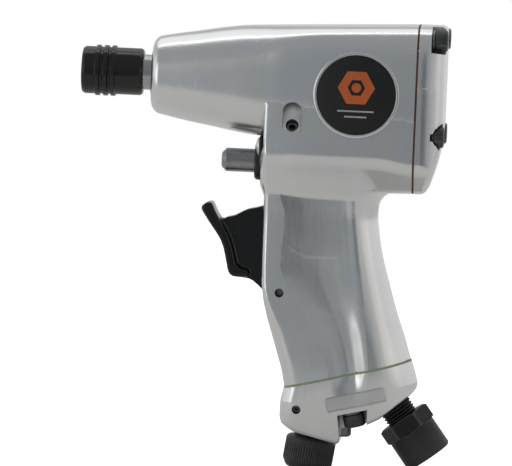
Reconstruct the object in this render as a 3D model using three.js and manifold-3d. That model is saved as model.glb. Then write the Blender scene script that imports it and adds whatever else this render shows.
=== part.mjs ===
// Pistol-grip pneumatic impact driver with a quarter-inch hex quick-change chuck.
// Millimetres, +Z up, nose towards -X. Every piece is laid out from the spindle axis
// (Y = 0, Z = 0), and the finished group is lifted so the base of its box is at Z = 0.
import * as THREE from 'three';
import { mergeVertices } from 'three/addons/utils/BufferGeometryUtils.js';
import Module from 'manifold-3d';

const wasm = await Module();
wasm.setup();

// ---------------------------------------------------------------- driving dimensions
const ORIGIN_X = -6.913;         // moves the middle of the overall box to X = 0
const ORIGIN_Z = 157.3;          // spindle axis height above the lowest point
const GAP = 0.3;                 // clearance between neighbouring pieces

const NOSE_FRONT = -41.2;        // front face of the nose
const BLOCK_FRONT = 4.5;         // front face of the valve block
const BODY_REAR = 64.7;          // rear gasket face of the body
const BLOCK_BOTTOM = -43.6;      // underside of the valve block
const COVER_FRONT = 65.5;
const COVER_REAR = 76.0;

const ANVIL_BORE_R = 10.0;
const HAMMER_BORE_R = 15.6;
const HAMMER_BORE_X = -22.0;
const MOTOR_BORE_R = 19.0;
const MOTOR_BORE_X = 14.3;

const REVERSE_Z = -33.5;         // reverse valve axis height
const REVERSE_BORE_R = 6.5;
const REVERSE_STROKE = 7.0;

const TRIGGER_PIVOT = [13.9, -84.8];
const BLADE_R = 34.6;            // radius of the trigger blade's upper arc
const BLADE_HALF = 4.0;          // half thickness of the blade
const SLOT_HALF = 4.5;
const THROTTLE_Z = -74.0;

const SOCKET_AF = 6.5;           // clearance for a 6.35 mm hex shank
const SOCKET_DEPTH = 22.0;
const BALL_X = -58.0;

const BASE_SLOPE = Math.atan2(12.2, 50.3);           // base joint rises towards the rear
const BASE_N = new THREE.Vector3(Math.sin(BASE_SLOPE), 0, -Math.cos(BASE_SLOPE)); // down and out
const BASE_MID = new THREE.Vector3(42.15, 0, -115.9);
const BASE_HALF_LEN = 25.88;
const BASE_HALF_WID = 18.8;

const KNOB_AXIS = new THREE.Vector3(-0.141, 0, -0.990).normalize();
const KNOB_ORIGIN = new THREE.Vector3(28.2, 0, -144.9);
const INLET_AXIS = new THREE.Vector3(0.5976, 0, -0.8017).normalize();
const INLET_ORIGIN = new THREE.Vector3(61.2, 0, -129.4);

const ROTOR_R = 14.2;
const CYL_BORE_R = 15.8;
const CYL_OFFSET = 1.25;         // eccentric bore, lowered from the spindle axis
const SCREW_Y = 19.0;
const SCREW_Z_TOP = 18.0;
const SCREW_Z_LOW = -20.0;
const FACETS = 0.52;             // scales the facet count of every round piece
const facets = (n) => Math.max(8, 2 * Math.round(n * FACETS / 2));

// ---------------------------------------------------------------- materials
const mat = (color, roughness, metalness) => new THREE.MeshStandardMaterial({ color, roughness, metalness });
const ALU = () => mat(0xc4c5c6, 0.32, 1.0);
const BLACK_OXIDE = () => mat(0x1e1e20, 0.45, 0.8);
const BLACK_GLOSS = () => mat(0x111113, 0.25, 0.1);
const STEEL = () => mat(0x8e8e90, 0.3, 1.0);
const DARK_STEEL = () => mat(0x4a4a4d, 0.4, 1.0);
const ZINC = () => mat(0xb4b5b8, 0.35, 1.0);
const BRASS = () => mat(0xb08d4a, 0.35, 1.0);

// ---------------------------------------------------------------- geometry helpers
const v3 = (x, y, z) => new THREE.Vector3(x, y, z);
const X = v3(1, 0, 0), Y = v3(0, 1, 0), Z = v3(0, 0, 1);
const along = (o, d, s) => o.clone().addScaledVector(d, s);

function solid(geometry) {
  const g = geometry.clone();
  for (const name of Object.keys(g.attributes)) if (name !== 'position') g.deleteAttribute(name);
  const m = mergeVertices(g, 1e-4);
  const p = m.attributes.position.array;
  const src = m.index.array;
  const tri = [];
  let volume = 0;
  for (let i = 0; i < src.length; i += 3) {
    const [a, b, c] = [src[i], src[i + 1], src[i + 2]];
    if (a === b || b === c || a === c) continue;
    tri.push(a, b, c);
    const [ax, ay, az] = [p[3 * a], p[3 * a + 1], p[3 * a + 2]];
    const [bx, by, bz] = [p[3 * b], p[3 * b + 1], p[3 * b + 2]];
    const [cx, cy, cz] = [p[3 * c], p[3 * c + 1], p[3 * c + 2]];
    volume += ax * (by * cz - bz * cy) + ay * (bz * cx - bx * cz) + az * (bx * cy - by * cx);
  }
  if (volume < 0) for (let i = 0; i < tri.length; i += 3) [tri[i + 1], tri[i + 2]] = [tri[i + 2], tri[i + 1]];
  return new wasm.Manifold(new wasm.Mesh({
    numProp: 3,
    vertProperties: new Float32Array(p),
    triVerts: new Uint32Array(tri),
  }));
}

const place = (geometry, origin, ex, ey, ez) =>
  geometry.applyMatrix4(new THREE.Matrix4().makeBasis(ex, ey, ez).setPosition(origin));

// turned piece: profile is a list of [distance along the axis, radius]
function turned(profile, origin, dir, segments = 32) {
  const g = new THREE.LatheGeometry(profile.map(([s, r]) => new THREE.Vector2(r, s)), facets(segments));
  g.applyQuaternion(new THREE.Quaternion().setFromUnitVectors(Y, dir));
  g.translate(origin.x, origin.y, origin.z);
  return solid(g);
}
const closed = (profile) => [...profile, profile[0]];
const ringOf = (s0, s1, rIn, rOut, origin, dir, seg = 32) =>
  turned(closed([[s0, rIn], [s0, rOut], [s1, rOut], [s1, rIn]]), origin, dir, seg);

function rod(p0, p1, r, segments = 24) {
  const d = p1.clone().sub(p0);
  const g = new THREE.CylinderGeometry(r, r, d.length(), facets(segments));
  g.applyQuaternion(new THREE.Quaternion().setFromUnitVectors(Y, d.clone().normalize()));
  const m = p0.clone().add(p1).multiplyScalar(0.5);
  g.translate(m.x, m.y, m.z);
  return solid(g);
}
const rodX = (x0, x1, y, z, r, seg = 24) => rod(v3(x0, y, z), v3(x1, y, z), r, seg);

function box(x0, x1, y0, y1, z0, z1) {
  const g = new THREE.BoxGeometry(x1 - x0, y1 - y0, z1 - z0);
  g.translate((x0 + x1) / 2, (y0 + y1) / 2, (z0 + z1) / 2);
  return solid(g);
}

const shapeOf = (points) => new THREE.Shape(points.map(([a, b]) => new THREE.Vector2(a, b)));
// outline in X-Z, extruded from y0 to y1
function slab(points, y0, y1) {
  const g = new THREE.ExtrudeGeometry(shapeOf(points), { depth: y1 - y0, bevelEnabled: false });
  return solid(place(g, v3(0, y1, 0), X, Z, Y.clone().negate()));
}
// outline in Y-Z, extruded from x0 to x1
function plate(points, x0, x1) {
  const g = new THREE.ExtrudeGeometry(shapeOf(points), { depth: x1 - x0, bevelEnabled: false });
  return solid(place(g, v3(x0, 0, 0), Y, Z, X));
}
// regular hexagon across flats, extruded from s0 to s1 along dir
function hexBar(origin, dir, af, s0, s1) {
  const r = af / Math.sqrt(3);
  const pts = [0, 1, 2, 3, 4, 5].map((k) => [r * Math.cos(k * Math.PI / 3), r * Math.sin(k * Math.PI / 3)]);
  const g = new THREE.ExtrudeGeometry(shapeOf(pts), { depth: s1 - s0, bevelEnabled: false });
  g.applyQuaternion(new THREE.Quaternion().setFromUnitVectors(Z, dir));
  const o = along(origin, dir, s0);
  g.translate(o.x, o.y, o.z);
  return solid(g);
}

// skin through rings of equal point count, closed with a fan at each end
function loft(rings) {
  const n = rings[0].length;
  const pos = [];
  for (const r of rings) for (const p of r) pos.push(p.x, p.y, p.z);
  const idx = [];
  for (let i = 0; i < rings.length - 1; i++) {
    for (let j = 0; j < n; j++) {
      const a = i * n + j, b = i * n + (j + 1) % n, c = a + n, d = b + n;
      idx.push(a, b, d, a, d, c);
    }
  }
  const cap = (ring, base, flip) => {
    const m = ring.reduce((s, p) => s.add(p), v3(0, 0, 0)).multiplyScalar(1 / n);
    const k = pos.length / 3;
    pos.push(m.x, m.y, m.z);
    for (let j = 0; j < n; j++) {
      const a = base + j, b = base + (j + 1) % n;
      if (flip) idx.push(k, b, a); else idx.push(k, a, b);
    }
  };
  cap(rings[0], 0, true);
  cap(rings[rings.length - 1], (rings.length - 1) * n, false);
  const g = new THREE.BufferGeometry();
  g.setAttribute('position', new THREE.Float32BufferAttribute(pos, 3));
  g.setIndex(idx);
  return solid(g);
}

// rounded-square section in Y-Z at one X, with its own upper and lower halves
const SECTION_Z = -1.0;
function sectionX(x, zTop, zBot, w, nUp, nLow, count = 32) {
  const out = [];
  for (let j = 0; j < count; j++) {
    const t = (j / count) * 2 * Math.PI, c = Math.cos(t), s = Math.sin(t);
    const h = s >= 0 ? zTop - SECTION_Z : SECTION_Z - zBot;
    const n = s >= 0 ? nUp : nLow;
    const r = (Math.abs(c / w) ** n + Math.abs(s / h) ** n) ** (-1 / n);
    out.push(v3(x, r * c, SECTION_Z + r * s));
  }
  return out;
}
// grip section between a front point and a back point in X-Z
function gripRing([fx, fz, bx, bz, w, n], count = 28) {
  const cx = (fx + bx) / 2, cz = (fz + bz) / 2;
  const ax = (bx - fx) / 2, az = (bz - fz) / 2, a = Math.hypot(ax, az);
  const out = [];
  for (let j = 0; j < count; j++) {
    const t = (j / count) * 2 * Math.PI, c = Math.cos(t), s = Math.sin(t);
    const r = (Math.abs(c / a) ** n + Math.abs(s / w) ** n) ** (-1 / n);
    out.push(v3(cx + (ax / a) * r * c, r * s, cz + (az / a) * r * c));
  }
  return out;
}

// round-wire helix along dir
class HelixCurve extends THREE.Curve {
  constructor(origin, dir, radius, length, turns) {
    super();
    Object.assign(this, { origin, dir, radius, length, turns });
    this.q = new THREE.Quaternion().setFromUnitVectors(Z, dir);
  }
  getPoint(t, target = new THREE.Vector3()) {
    const a = t * this.turns * 2 * Math.PI;
    return target.set(this.radius * Math.cos(a), this.radius * Math.sin(a), t * this.length)
      .applyQuaternion(this.q).add(this.origin);
  }
}
function spring(origin, dir, radius, length, turns, wire) {
  const path = new HelixCurve(along(origin, dir, wire), dir, radius, length - 2 * wire, turns);
  const pts = [];
  for (let k = 0; k < 4; k++) pts.push([wire * Math.cos(k * 0.5 * Math.PI), wire * Math.sin(k * 0.5 * Math.PI)]);
  return solid(new THREE.ExtrudeGeometry(shapeOf(pts), { steps: Math.round(turns * 8), extrudePath: path, bevelEnabled: false }));
}

function ball(c, r) {
  const g = new THREE.SphereGeometry(r, 10, 7);
  g.translate(c.x, c.y, c.z);
  return solid(g);
}

const design = new THREE.Group();
design.position.set(ORIGIN_X, 0, ORIGIN_Z);
function add(name, manifold, material) {
  const m = manifold.getMesh();
  const g = new THREE.BufferGeometry();
  g.setAttribute('position', new THREE.Float32BufferAttribute(Float32Array.from(m.vertProperties), 3));
  g.setIndex(new THREE.BufferAttribute(Uint32Array.from(m.triVerts), 1));
  g.computeVertexNormals();
  const mesh = new THREE.Mesh(g, material);
  mesh.name = name;
  design.add(mesh);
  return mesh;
}

// ---------------------------------------------------------------- housing
const noseSections = [
  [-41.2, 11.3, -12.6, 12.0, 2.1], [-40.6, 12.8, -14.2, 13.4, 2.1], [-39.0, 14.2, -15.5, 14.8, 2.2],
  [-36.5, 15.3, -16.7, 15.8, 2.25], [-22.0, 17.8, -19.2, 18.4, 2.45], [-13.6, 19.4, -20.7, 20.0, 2.6],
  [-4.1, 20.6, -22.5, 21.8, 2.8], [4.6, 21.1, -23.4, 23.2, 3.1], [12.0, 21.4, -23.9, 24.3, 3.8],
].map(([x, t, b, w, n]) => sectionX(x, t, b, w, n, n));
const blockSections = [
  [BLOCK_FRONT, 21.1, BLOCK_BOTTOM, 23.2, 3.1, 5], [12.7, 21.5, BLOCK_BOTTOM, 24.5, 3.8, 5],
  [20, 21.9, BLOCK_BOTTOM, 25.0, 4.6, 5], [36.7, 22.6, BLOCK_BOTTOM, 25.6, 5, 5],
  [BODY_REAR, 23.75, BLOCK_BOTTOM, 26.3, 5.5, 5],
].map(([x, t, b, w, n, m]) => sectionX(x, t, b, w, n, m));
const gripSections = [
  [6.2, -38, 58.5, -38, 19.4, 3.3], [5.8, -45.4, 53.8, -45.0, 18.2, 3.1],
  [5.9, -53.7, 51.1, -53.7, 17.1, 2.9], [5.9, -61, 52.2, -60.9, 16.7, 2.8],
  [5.9, -70.4, 54.2, -70.4, 16.5, 2.8], [6.1, -80, 56.2, -77.4, 16.6, 2.8],
  [7.3, -91.4, 59.5, -88, 17.0, 2.8], [10.3, -102.2, 63.0, -97.8, 17.6, 2.8],
  [13.5, -112.6, 65.4, -104.8, 18.3, 2.8], [17.0, -122.0, 67.3, -109.8, BASE_HALF_WID, 2.9],
].map((r) => gripRing(r));

let housing = loft(noseSections).add(loft(blockSections)).add(loft(gripSections));

// spindle, hammer and motor bores
housing = housing
  .subtract(rodX(-42, HAMMER_BORE_X + 0.5, 0, 0, ANVIL_BORE_R, 40))
  .subtract(rodX(HAMMER_BORE_X, MOTOR_BORE_X + 0.5, 0, 0, HAMMER_BORE_R, 40))
  .subtract(rodX(MOTOR_BORE_X, BODY_REAR + 1, 0, 0, MOTOR_BORE_R, 48));
// reverse valve bore and the ports from it to the motor
housing = housing.subtract(rodX(BLOCK_FRONT - 1, 60, 0, REVERSE_Z, REVERSE_BORE_R, 28));
const PORT_X = [28.5, 43.5];
for (const x of PORT_X) housing = housing.subtract(rod(v3(x, 0, REVERSE_Z + 3), v3(x, 0, -17), 2.2, 14));
// trigger slot, throttle bore, port from throttle to reverse valve
housing = housing
  .subtract(box(0, 27.5, -SLOT_HALF, SLOT_HALF, -89.6, -49.4))
  .subtract(rodX(26, 53.5, 0, THROTTLE_Z, 6.3, 28))
  .subtract(rod(v3(34, 0, THROTTLE_Z + 3), v3(34, 0, REVERSE_Z - 4), 2.4, 14));
// inlet passage up the grip, and the exhaust passage beside the throttle
housing = housing
  .subtract(rod(v3(49.6, 0, -118), v3(49.6, 0, THROTTLE_Z - 3), 3.6, 18))
  .subtract(rod(v3(31, 11, -122), v3(31, 11, -12), 2.5, 14));
// trigger pin hole
housing = housing.subtract(rod(v3(TRIGGER_PIVOT[0], -20, TRIGGER_PIVOT[1]), v3(TRIGGER_PIVOT[0], 20, TRIGGER_PIVOT[1]), 1.9, 18));

// rear cover screw holes
const rearSpots = [[-SCREW_Y, SCREW_Z_TOP], [SCREW_Y, SCREW_Z_TOP], [-SCREW_Y, SCREW_Z_LOW], [SCREW_Y, SCREW_Z_LOW]];
for (const [y, z] of rearSpots) housing = housing.subtract(rodX(49.5, BODY_REAR + 1, y, z, 2.75, 16));

// base screws: axis square to the base joint
const baseScrewMid = (y) => v3(45.7, y, -134.8);
const BASE_Y = 12.0;
for (const y of [-BASE_Y, BASE_Y]) {
  housing = housing.subtract(rod(along(baseScrewMid(y), BASE_N, -12), along(baseScrewMid(y), BASE_N, -36), 2.75, 16));
}
// retainer screw hole
const PLATE_SCREW = [-10.0, -27.9];
housing = housing.subtract(rodX(BLOCK_FRONT - 1, 13, PLATE_SCREW[0], PLATE_SCREW[1], 2.2, 14));

// reverse detent: arched pocket in the side wall, and the drilled hole down to the valve
const DETENT_TOP = v3(16.6, -24.8, -16.6);
const DETENT_DIR = v3(0, 24.8, REVERSE_Z + 16.6).normalize();
const DETENT_LEN = Math.hypot(24.8, REVERSE_Z + 16.6);
const arch = [];
for (let k = 0; k <= 10; k++) arch.push([16.6 + 3.85 * Math.cos(k * Math.PI / 10), -12.35 + 3.85 * Math.sin(k * Math.PI / 10)]);
arch.push([12.75, -20.0], [20.45, -20.0]);
let pocket = slab(arch, -30, -19);
pocket = pocket.intersect(plate([[-30, -4], [-30, -20.0], [-24.7, -20.0], [-19.9, -8.5], [-19.9, -4]], 10, 24));
housing = housing.subtract(pocket)
  .subtract(rod(along(DETENT_TOP, DETENT_DIR, -2), along(DETENT_TOP, DETENT_DIR, 14), 2.6, 18))
  .subtract(rod(along(DETENT_TOP, DETENT_DIR, 13), along(DETENT_TOP, DETENT_DIR, DETENT_LEN - 4), 2.1, 16));

// seat for the label disc on the near side wall, which leans out slightly to the rear
const LABEL_C = v3(41.5, -25.6, -4.6);
const LABEL_LEAN = Math.atan2(0.7, 28);
const LABEL_N = v3(-Math.sin(LABEL_LEAN), -Math.cos(LABEL_LEAN), 0);
housing = housing.subtract(rod(along(LABEL_C, LABEL_N, -0.6), along(LABEL_C, LABEL_N, 3), 15.9, 40));
add('housing', housing, ALU());
add('label_disc', turned([[-0.3, 0], [-0.3, 15.6], [0.15, 15.6], [0.3, 15.3], [0.3, 0]], LABEL_C, LABEL_N, 40), mat(0x202022, 0.5, 0));

// ---------------------------------------------------------------- rear cover and gasket
let gasket = loft([sectionX(64.85, 23.75, BLOCK_BOTTOM, 26.3, 5.5, 5), sectionX(65.35, 23.75, BLOCK_BOTTOM, 26.3, 5.5, 5)])
  .subtract(rodX(64, 66, 0, 0, 19.4, 40));
for (const [y, z] of rearSpots) gasket = gasket.subtract(rodX(64, 66, y, z, 2.9, 16));
add('rear_gasket', gasket, mat(0x4e3623, 0.8, 0));

let cover = loft([
  sectionX(COVER_FRONT, 23.8, BLOCK_BOTTOM, 26.3, 5.5, 5), sectionX(71.5, 23.9, BLOCK_BOTTOM, 26.3, 5.5, 5),
  sectionX(74.0, 23.4, -42.6, 25.6, 5.2, 5), sectionX(75.4, 22.2, -41.4, 24.4, 5.0, 5),
  sectionX(COVER_REAR, 20.2, -40.0, 22.4, 4.8, 5),
]);
cover = cover.intersect(slab([[57, 30], [78, 30], [76.9, -18], [76.2, -23.8], [73.4, -31.1], [72.4, -36.0], [71, -40.9], [70.2, -43.6], [70.0, -46], [57, -46]], -30, 30));
cover = cover.add(ringOf(57.6, COVER_FRONT + 1, 8.5, 18.6, v3(0, 0, 0), X, 40)).subtract(rodX(57, 69.5, 0, 0, 8.5, 32));
for (const [y, z] of rearSpots) {
  const s = Math.sign(y);
  cover = cover.subtract(rodX(57, 80, y, z, 2.75, 16)).subtract(rodX(70.3, 80, y, z, 5.2, 24));
  if (z > 0) {
    // upper corners are cut open through the top and the side
    const corner = [[s * 19, 30], [s * 30, 30], [s * 30, z], [s * 24.2, z], [s * 24.2, z - 0.1], [s * 19, z - 0.1], [s * 13.8, z], [s * 13.8, 30]];
    cover = cover.subtract(plate(s > 0 ? corner : corner.slice().reverse(), 70.3, 80));
  } else {
    cover = cover.subtract(box(70.3, 80, Math.min(s * 19, s * 30), Math.max(s * 19, s * 30), z - 5.2, z + 5.2));
  }
}
add('rear_cover', cover, ALU());

// ---------------------------------------------------------------- cap screws and spring washers
function capScrew(seat, out, shank) {
  const body = turned([[-shank, 0], [-shank, 1.9], [-shank + 0.8, 2.4], [0, 2.4], [0, 4.25], [4.5, 4.25], [5.0, 3.8], [5.0, 0]], seat, out, 20);
  return body.subtract(hexBar(seat, out, 4.0, 2.4, 6));
}
const washer = (seat, out) => ringOf(-1.1, -0.2, 2.7, 4.2, seat, out, 20);
rearSpots.forEach(([y, z], k) => {
  const seat = v3(71.7, y, z);
  add(`rear_screw_${k + 1}`, capScrew(seat, X, 20), BLACK_OXIDE());
  add(`rear_washer_${k + 1}`, washer(seat, X), DARK_STEEL());
});

// ---------------------------------------------------------------- base gasket, base cap, screws
const BU = v3(Math.cos(BASE_SLOPE), 0, Math.sin(BASE_SLOPE));  // along the base joint, to the rear
const planRing = (depth, a, w, n, shift = 0) => {
  const c = along(along(BASE_MID, BASE_N, depth), BU, shift);
  return gripRing([c.x - BU.x * a, c.z - BU.z * a, c.x + BU.x * a, c.z + BU.z * a, w, n]);
};
let baseGasket = loft([planRing(0.15, BASE_HALF_LEN, BASE_HALF_WID, 2.9), planRing(0.65, BASE_HALF_LEN, BASE_HALF_WID, 2.9)])
  .subtract(rod(v3(49.6, 0, -110), v3(49.6, 0, -120), 4.0, 18))
  .subtract(rod(v3(31, 11, -112), v3(31, 11, -124), 2.9, 14));
for (const y of [-BASE_Y, BASE_Y]) baseGasket = baseGasket.subtract(rod(along(baseScrewMid(y), BASE_N, -12), along(baseScrewMid(y), BASE_N, -26), 2.9, 16));
add('base_gasket', baseGasket, mat(0x82966a, 0.8, 0));

let cap = loft([
  planRing(0.8, BASE_HALF_LEN, BASE_HALF_WID, 2.9), planRing(6, 27.6, 18.6, 2.9, 0.4),
  planRing(14, 29.5, 17.8, 2.8), planRing(22, 30.5, 16.4, 2.7, -1), planRing(34, 31, 13.5, 2.6, -2),
]);
cap = cap.intersect(slab([
  [10, -100], [10, -121], [16.4, -124.8], [15.2, -134.5], [15.4, -136.0], [17.6, -137.6], [21.4, -139.8], [36.9, -143.8],
  [39.5, -144.4], [40.3, -143.1], [40.5, -138.6], [50.5, -136.0], [55.2, -133.8], [66.6, -125.2], [70.5, -120.9], [70.7, -118.9], [67.3, -109.8], [72, -100],
], -25, 25));
// side pockets for the two base screws
const pocketRoof = (x) => -131.1 + (x - 45.1) * Math.tan(BASE_SLOPE);
for (const s of [-1, 1]) {
  const pts = [[39.1, pocketRoof(39.1)], [50.9, pocketRoof(50.9)], [50.9, -150], [40.4, -150], [40.3, -143.1]];
  cap = cap.subtract(s < 0 ? slab(pts, -25, -6.6) : slab(pts, 6.6, 25));
  cap = cap.subtract(rod(along(baseScrewMid(s * BASE_Y), BASE_N, 2), along(baseScrewMid(s * BASE_Y), BASE_N, -26), 2.75, 16));
}
// regulator bore, roll pin hole, inlet bore, cross passage, exhaust bore
cap = cap
  .subtract(rod(along(KNOB_ORIGIN, KNOB_AXIS, 6), along(KNOB_ORIGIN, KNOB_AXIS, -22.2), 7.5, 28))
  .subtract(rod(v3(22.7, -25, -130.9), v3(22.7, 25, -130.9), 1.9, 16))
  .subtract(rod(along(INLET_ORIGIN, INLET_AXIS, 6), along(INLET_ORIGIN, INLET_AXIS, -8.3), 7.15, 28))
  .subtract(rod(along(INLET_ORIGIN, INLET_AXIS, 0), along(INLET_ORIGIN, INLET_AXIS, -22), 3.6, 18))
  .subtract(rod(v3(33, 0, -124.6), v3(53, 0, -121.4), 2.0, 14))
  .subtract(rod(v3(40.6, 0, -150), v3(40.6, 0, -131.5), 3.9, 20))
  .subtract(rod(v3(31, 11, -115), v3(33, 11.4, -131.4), 2.0, 14))
  .subtract(rod(v3(32.4, 12.1, -131.0), v3(41, 2, -133), 1.8, 14));
// raised name pad, left plain
const padMid = v3(46.3, 0, -125.9);
const pad = (() => {
  const pts = [[-12.2, -2.7], [12.2, -2.7], [12.2, 2.7], [-12.2, 2.7]];
  const g = new THREE.ExtrudeGeometry(shapeOf(pts), { depth: 1.2, bevelEnabled: false });
  return solid(place(g, v3(padMid.x, -17.9, padMid.z), BU, v3(-BU.z, 0, BU.x), v3(0, -1, 0)));
})();
cap = cap.add(pad);
add('base_cap', cap, ALU());
[-BASE_Y, BASE_Y].forEach((y, k) => {
  const seat = along(baseScrewMid(y), BASE_N, -2.5);
  add(`base_screw_${k + 1}`, capScrew(seat, BASE_N, 30), BLACK_OXIDE());
  add(`base_washer_${k + 1}`, washer(seat, BASE_N), DARK_STEEL());
});
add('exhaust_deflector', turned([[-9, 0], [-9, 3.6], [0.8, 3.6], [1.6, 2.8], [1.6, 0]], v3(40.6, 0, -140.9), v3(0, 0, -1), 20)
  .subtract(rod(v3(40.6, 0, -145), v3(40.6, 0, -134), 2.0, 14)), DARK_STEEL());

// ---------------------------------------------------------------- air regulator
let knob = turned([[-1.6, 0], [-1.6, 9.2], [-0.7, 10.1], [8.4, 10.1], [11.4, 7.9], [11.4, 0]], KNOB_ORIGIN, KNOB_AXIS, 36)
  .subtract(rod(along(KNOB_ORIGIN, KNOB_AXIS, -3), along(KNOB_ORIGIN, KNOB_AXIS, 6), 4.3, 20));
add('regulator_knob', knob, BLACK_OXIDE());
add('regulator_stem', turned([[5.7, 0], [5.7, 4.0], [-1.9, 4.0], [-1.9, 7.2], [-11.0, 7.2], [-11.0, 5.4], [-15.2, 5.4], [-15.2, 7.2], [-18.2, 7.2], [-21.9, 3.0], [-21.9, 0]], KNOB_ORIGIN, KNOB_AXIS, 28), STEEL());
add('regulator_pin', rod(v3(22.7, -14.6, -130.9), v3(22.7, 14.6, -130.9), 1.6, 16), DARK_STEEL());

// ---------------------------------------------------------------- air inlet
let inlet = rod(along(INLET_ORIGIN, INLET_AXIS, -8), along(INLET_ORIGIN, INLET_AXIS, 5.6), 6.85, 28)
  .add(hexBar(INLET_ORIGIN, INLET_AXIS, 19, 5.4, 12).intersect(turned([[5.2, 0], [5.2, 9.7], [6.4, 10.97], [12.2, 10.97], [12.2, 0]], INLET_ORIGIN, INLET_AXIS, 36)))
  .add(turned([[11.8, 0], [11.8, 10.0], [23.7, 10.0], [24.6, 9.1], [24.6, 0]], INLET_ORIGIN, INLET_AXIS, 36))
  .subtract(rod(along(INLET_ORIGIN, INLET_AXIS, 8.5), along(INLET_ORIGIN, INLET_AXIS, 26), 5.6, 28))
  .subtract(rod(along(INLET_ORIGIN, INLET_AXIS, -9), along(INLET_ORIGIN, INLET_AXIS, 9), 3.8, 18));
add('inlet_bushing', inlet, BLACK_OXIDE());
let screen = rod(along(INLET_ORIGIN, INLET_AXIS, 8.7), along(INLET_ORIGIN, INLET_AXIS, 9.7), 5.3, 24);
for (let k = 0; k < 7; k++) {
  const r = k ? 2.5 : 0, a = k * Math.PI / 3;
  const side = v3(INLET_AXIS.z, 0, -INLET_AXIS.x).multiplyScalar(r * Math.cos(a)).add(v3(0, r * Math.sin(a), 0));
  const o = INLET_ORIGIN.clone().add(side);
  screen = screen.subtract(rod(along(o, INLET_AXIS, 8), along(o, INLET_AXIS, 11), 0.8, 8));
}
add('inlet_screen', screen, BRASS());

// ---------------------------------------------------------------- trigger
const [TX, TZ] = TRIGGER_PIVOT;
const polar = (r, deg) => [TX + r * Math.sin(deg * Math.PI / 180), TZ + r * Math.cos(deg * Math.PI / 180)];
const bladeEdge = [];
for (let d = -38; d <= 8; d += 4.6) bladeEdge.push(polar(BLADE_R, d));
const boss = [];
for (let d = 60; d <= 240; d += 22.5) boss.push(polar(3.9, d));
const blade = slab([...bladeEdge, polar(4.6, 8), ...boss, [6.6, -84.6], [2.6, -81.4], [-1.0, -79.0], [-4.2, -76.5], [-5.6, -70.1], [-7.8, -63.5]].reverse(), -BLADE_HALF, BLADE_HALF);
const fingerPlate = slab([
  [-19.1, -53.6], [-16.8, -57.1], [-14.4, -60.5], [-11.4, -64.5], [-10.1, -67.2], [-9.2, -70.1], [-8.4, -73.2], [-7.9, -76.2], [-7.2, -78.1], [-5.8, -79.4], [-4.1, -79.9], [-0.4, -79.8],
  [-0.9, -76.6], [-4.2, -76.0], [-5.6, -70.1], [-7.9, -63.6], [-11.3, -57.6], [-13.8, -53.6], [-15.0, -51.2], [-16.5, -50.7], [-18.6, -51.6],
].reverse(), -8, 8);
let trigger = blade.add(fingerPlate).subtract(rod(v3(TX, -9, TZ), v3(TX, 9, TZ), 1.9, 18));
add('trigger', trigger, BLACK_GLOSS());
add('trigger_pin', rod(v3(TX, -13.4, TZ), v3(TX, 13.4, TZ), 1.6, 16), STEEL());

// ---------------------------------------------------------------- throttle valve
const T0 = v3(0, 0, THROTTLE_Z);
add('throttle_bushing', turned(closed([[27.8, 2.0], [27.8, 6.0], [31, 6.0], [31, 5.0], [37, 5.0], [37, 6.0], [46.5, 6.0], [46.5, 4.8], [41.5, 4.8], [38.5, 2.0]]), T0, X, 28)
  .subtract(rod(v3(34, 0, THROTTLE_Z + 1), v3(34, 0, THROTTLE_Z + 8), 1.3, 12)), BRASS());
add('throttle_stem', turned([[15.75, 0], [15.75, 1.8], [16.3, 2.5], [18.2, 2.5], [18.9, 1.6], [38.1, 1.6], [38.1, 0]], T0, X, 18), STEEL());
add('throttle_ball', ball(v3(41.9, 0, THROTTLE_Z), 3.5), STEEL());
add('throttle_spring', spring(v3(45.7, 0, THROTTLE_Z), X, 2.6, 7.4, 4, 0.4), STEEL());

// ---------------------------------------------------------------- reverse valve
const R0 = v3(0, 0, REVERSE_Z);
add('reverse_spool', turned([
  [-12.2, 0], [-12.2, 2.9], [-10.4, 4.7], [8.1, 4.7], [8.9, 3.8], [10.3, 3.8], [11.1, 4.7], [15.1, 4.7], [15.9, 3.8], [17.3, 3.8], [18.1, 4.7],
  [20, 4.7], [20, 6.2], [25, 6.2], [25, 3.2], [32, 3.2], [32, 6.2], [40, 6.2], [40, 3.2], [46, 3.2], [46, 6.2], [51, 6.2], [51, 0],
], R0, X, 28), STEEL());
add('reverse_bushing', turned(closed([[1.1, 5.0], [1.1, 6.9], [1.7, 7.6], [2.6, 7.6], [2.6, 6.2], [13.2, 6.2], [13.2, 5.0]]), R0, X, 28), BLACK_OXIDE());
const plateOutline = [];
for (let k = 0; k < 24; k++) {
  const a = (k / 24) * 2 * Math.PI;
  // rounded plate with one ear for its screw
  const main = [10.3 * Math.cos(a), -34.1 + 10.1 * Math.sin(a)];
  const ear = [PLATE_SCREW[0] + 4.1 * Math.cos(a), PLATE_SCREW[1] + 4.1 * Math.sin(a)];
  const dir = [Math.cos(a), Math.sin(a)];
  const support = (p) => p[0] * dir[0] + p[1] * dir[1];
  plateOutline.push(support(ear) > support(main) ? ear : main);
}
add('reverse_retainer_plate', plate(plateOutline, 2.9, 4.2)
  .subtract(rodX(0, 6, 0, REVERSE_Z, 6.5, 24)).subtract(rodX(0, 6, PLATE_SCREW[0], PLATE_SCREW[1], 2.2, 14)), BLACK_OXIDE());
add('retainer_screw', turned([[12, 0], [12, 1.5], [11.3, 1.9], [2.6, 1.9], [2.6, 3.7], [1.8, 3.5], [1.1, 2.4], [1.1, 0]], v3(0, PLATE_SCREW[0], PLATE_SCREW[1]), X, 20)
  .subtract(box(0, 1.9, PLATE_SCREW[0] - 2, PLATE_SCREW[0] + 2, PLATE_SCREW[1] - 0.45, PLATE_SCREW[1] + 0.45)), ZINC());
add('detent_set_screw', rod(along(DETENT_TOP, DETENT_DIR, 3.2), along(DETENT_TOP, DETENT_DIR, 13.2), 2.3, 18)
  .subtract(hexBar(DETENT_TOP, DETENT_DIR, 2.5, 2, 6)), DARK_STEEL());
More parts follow.
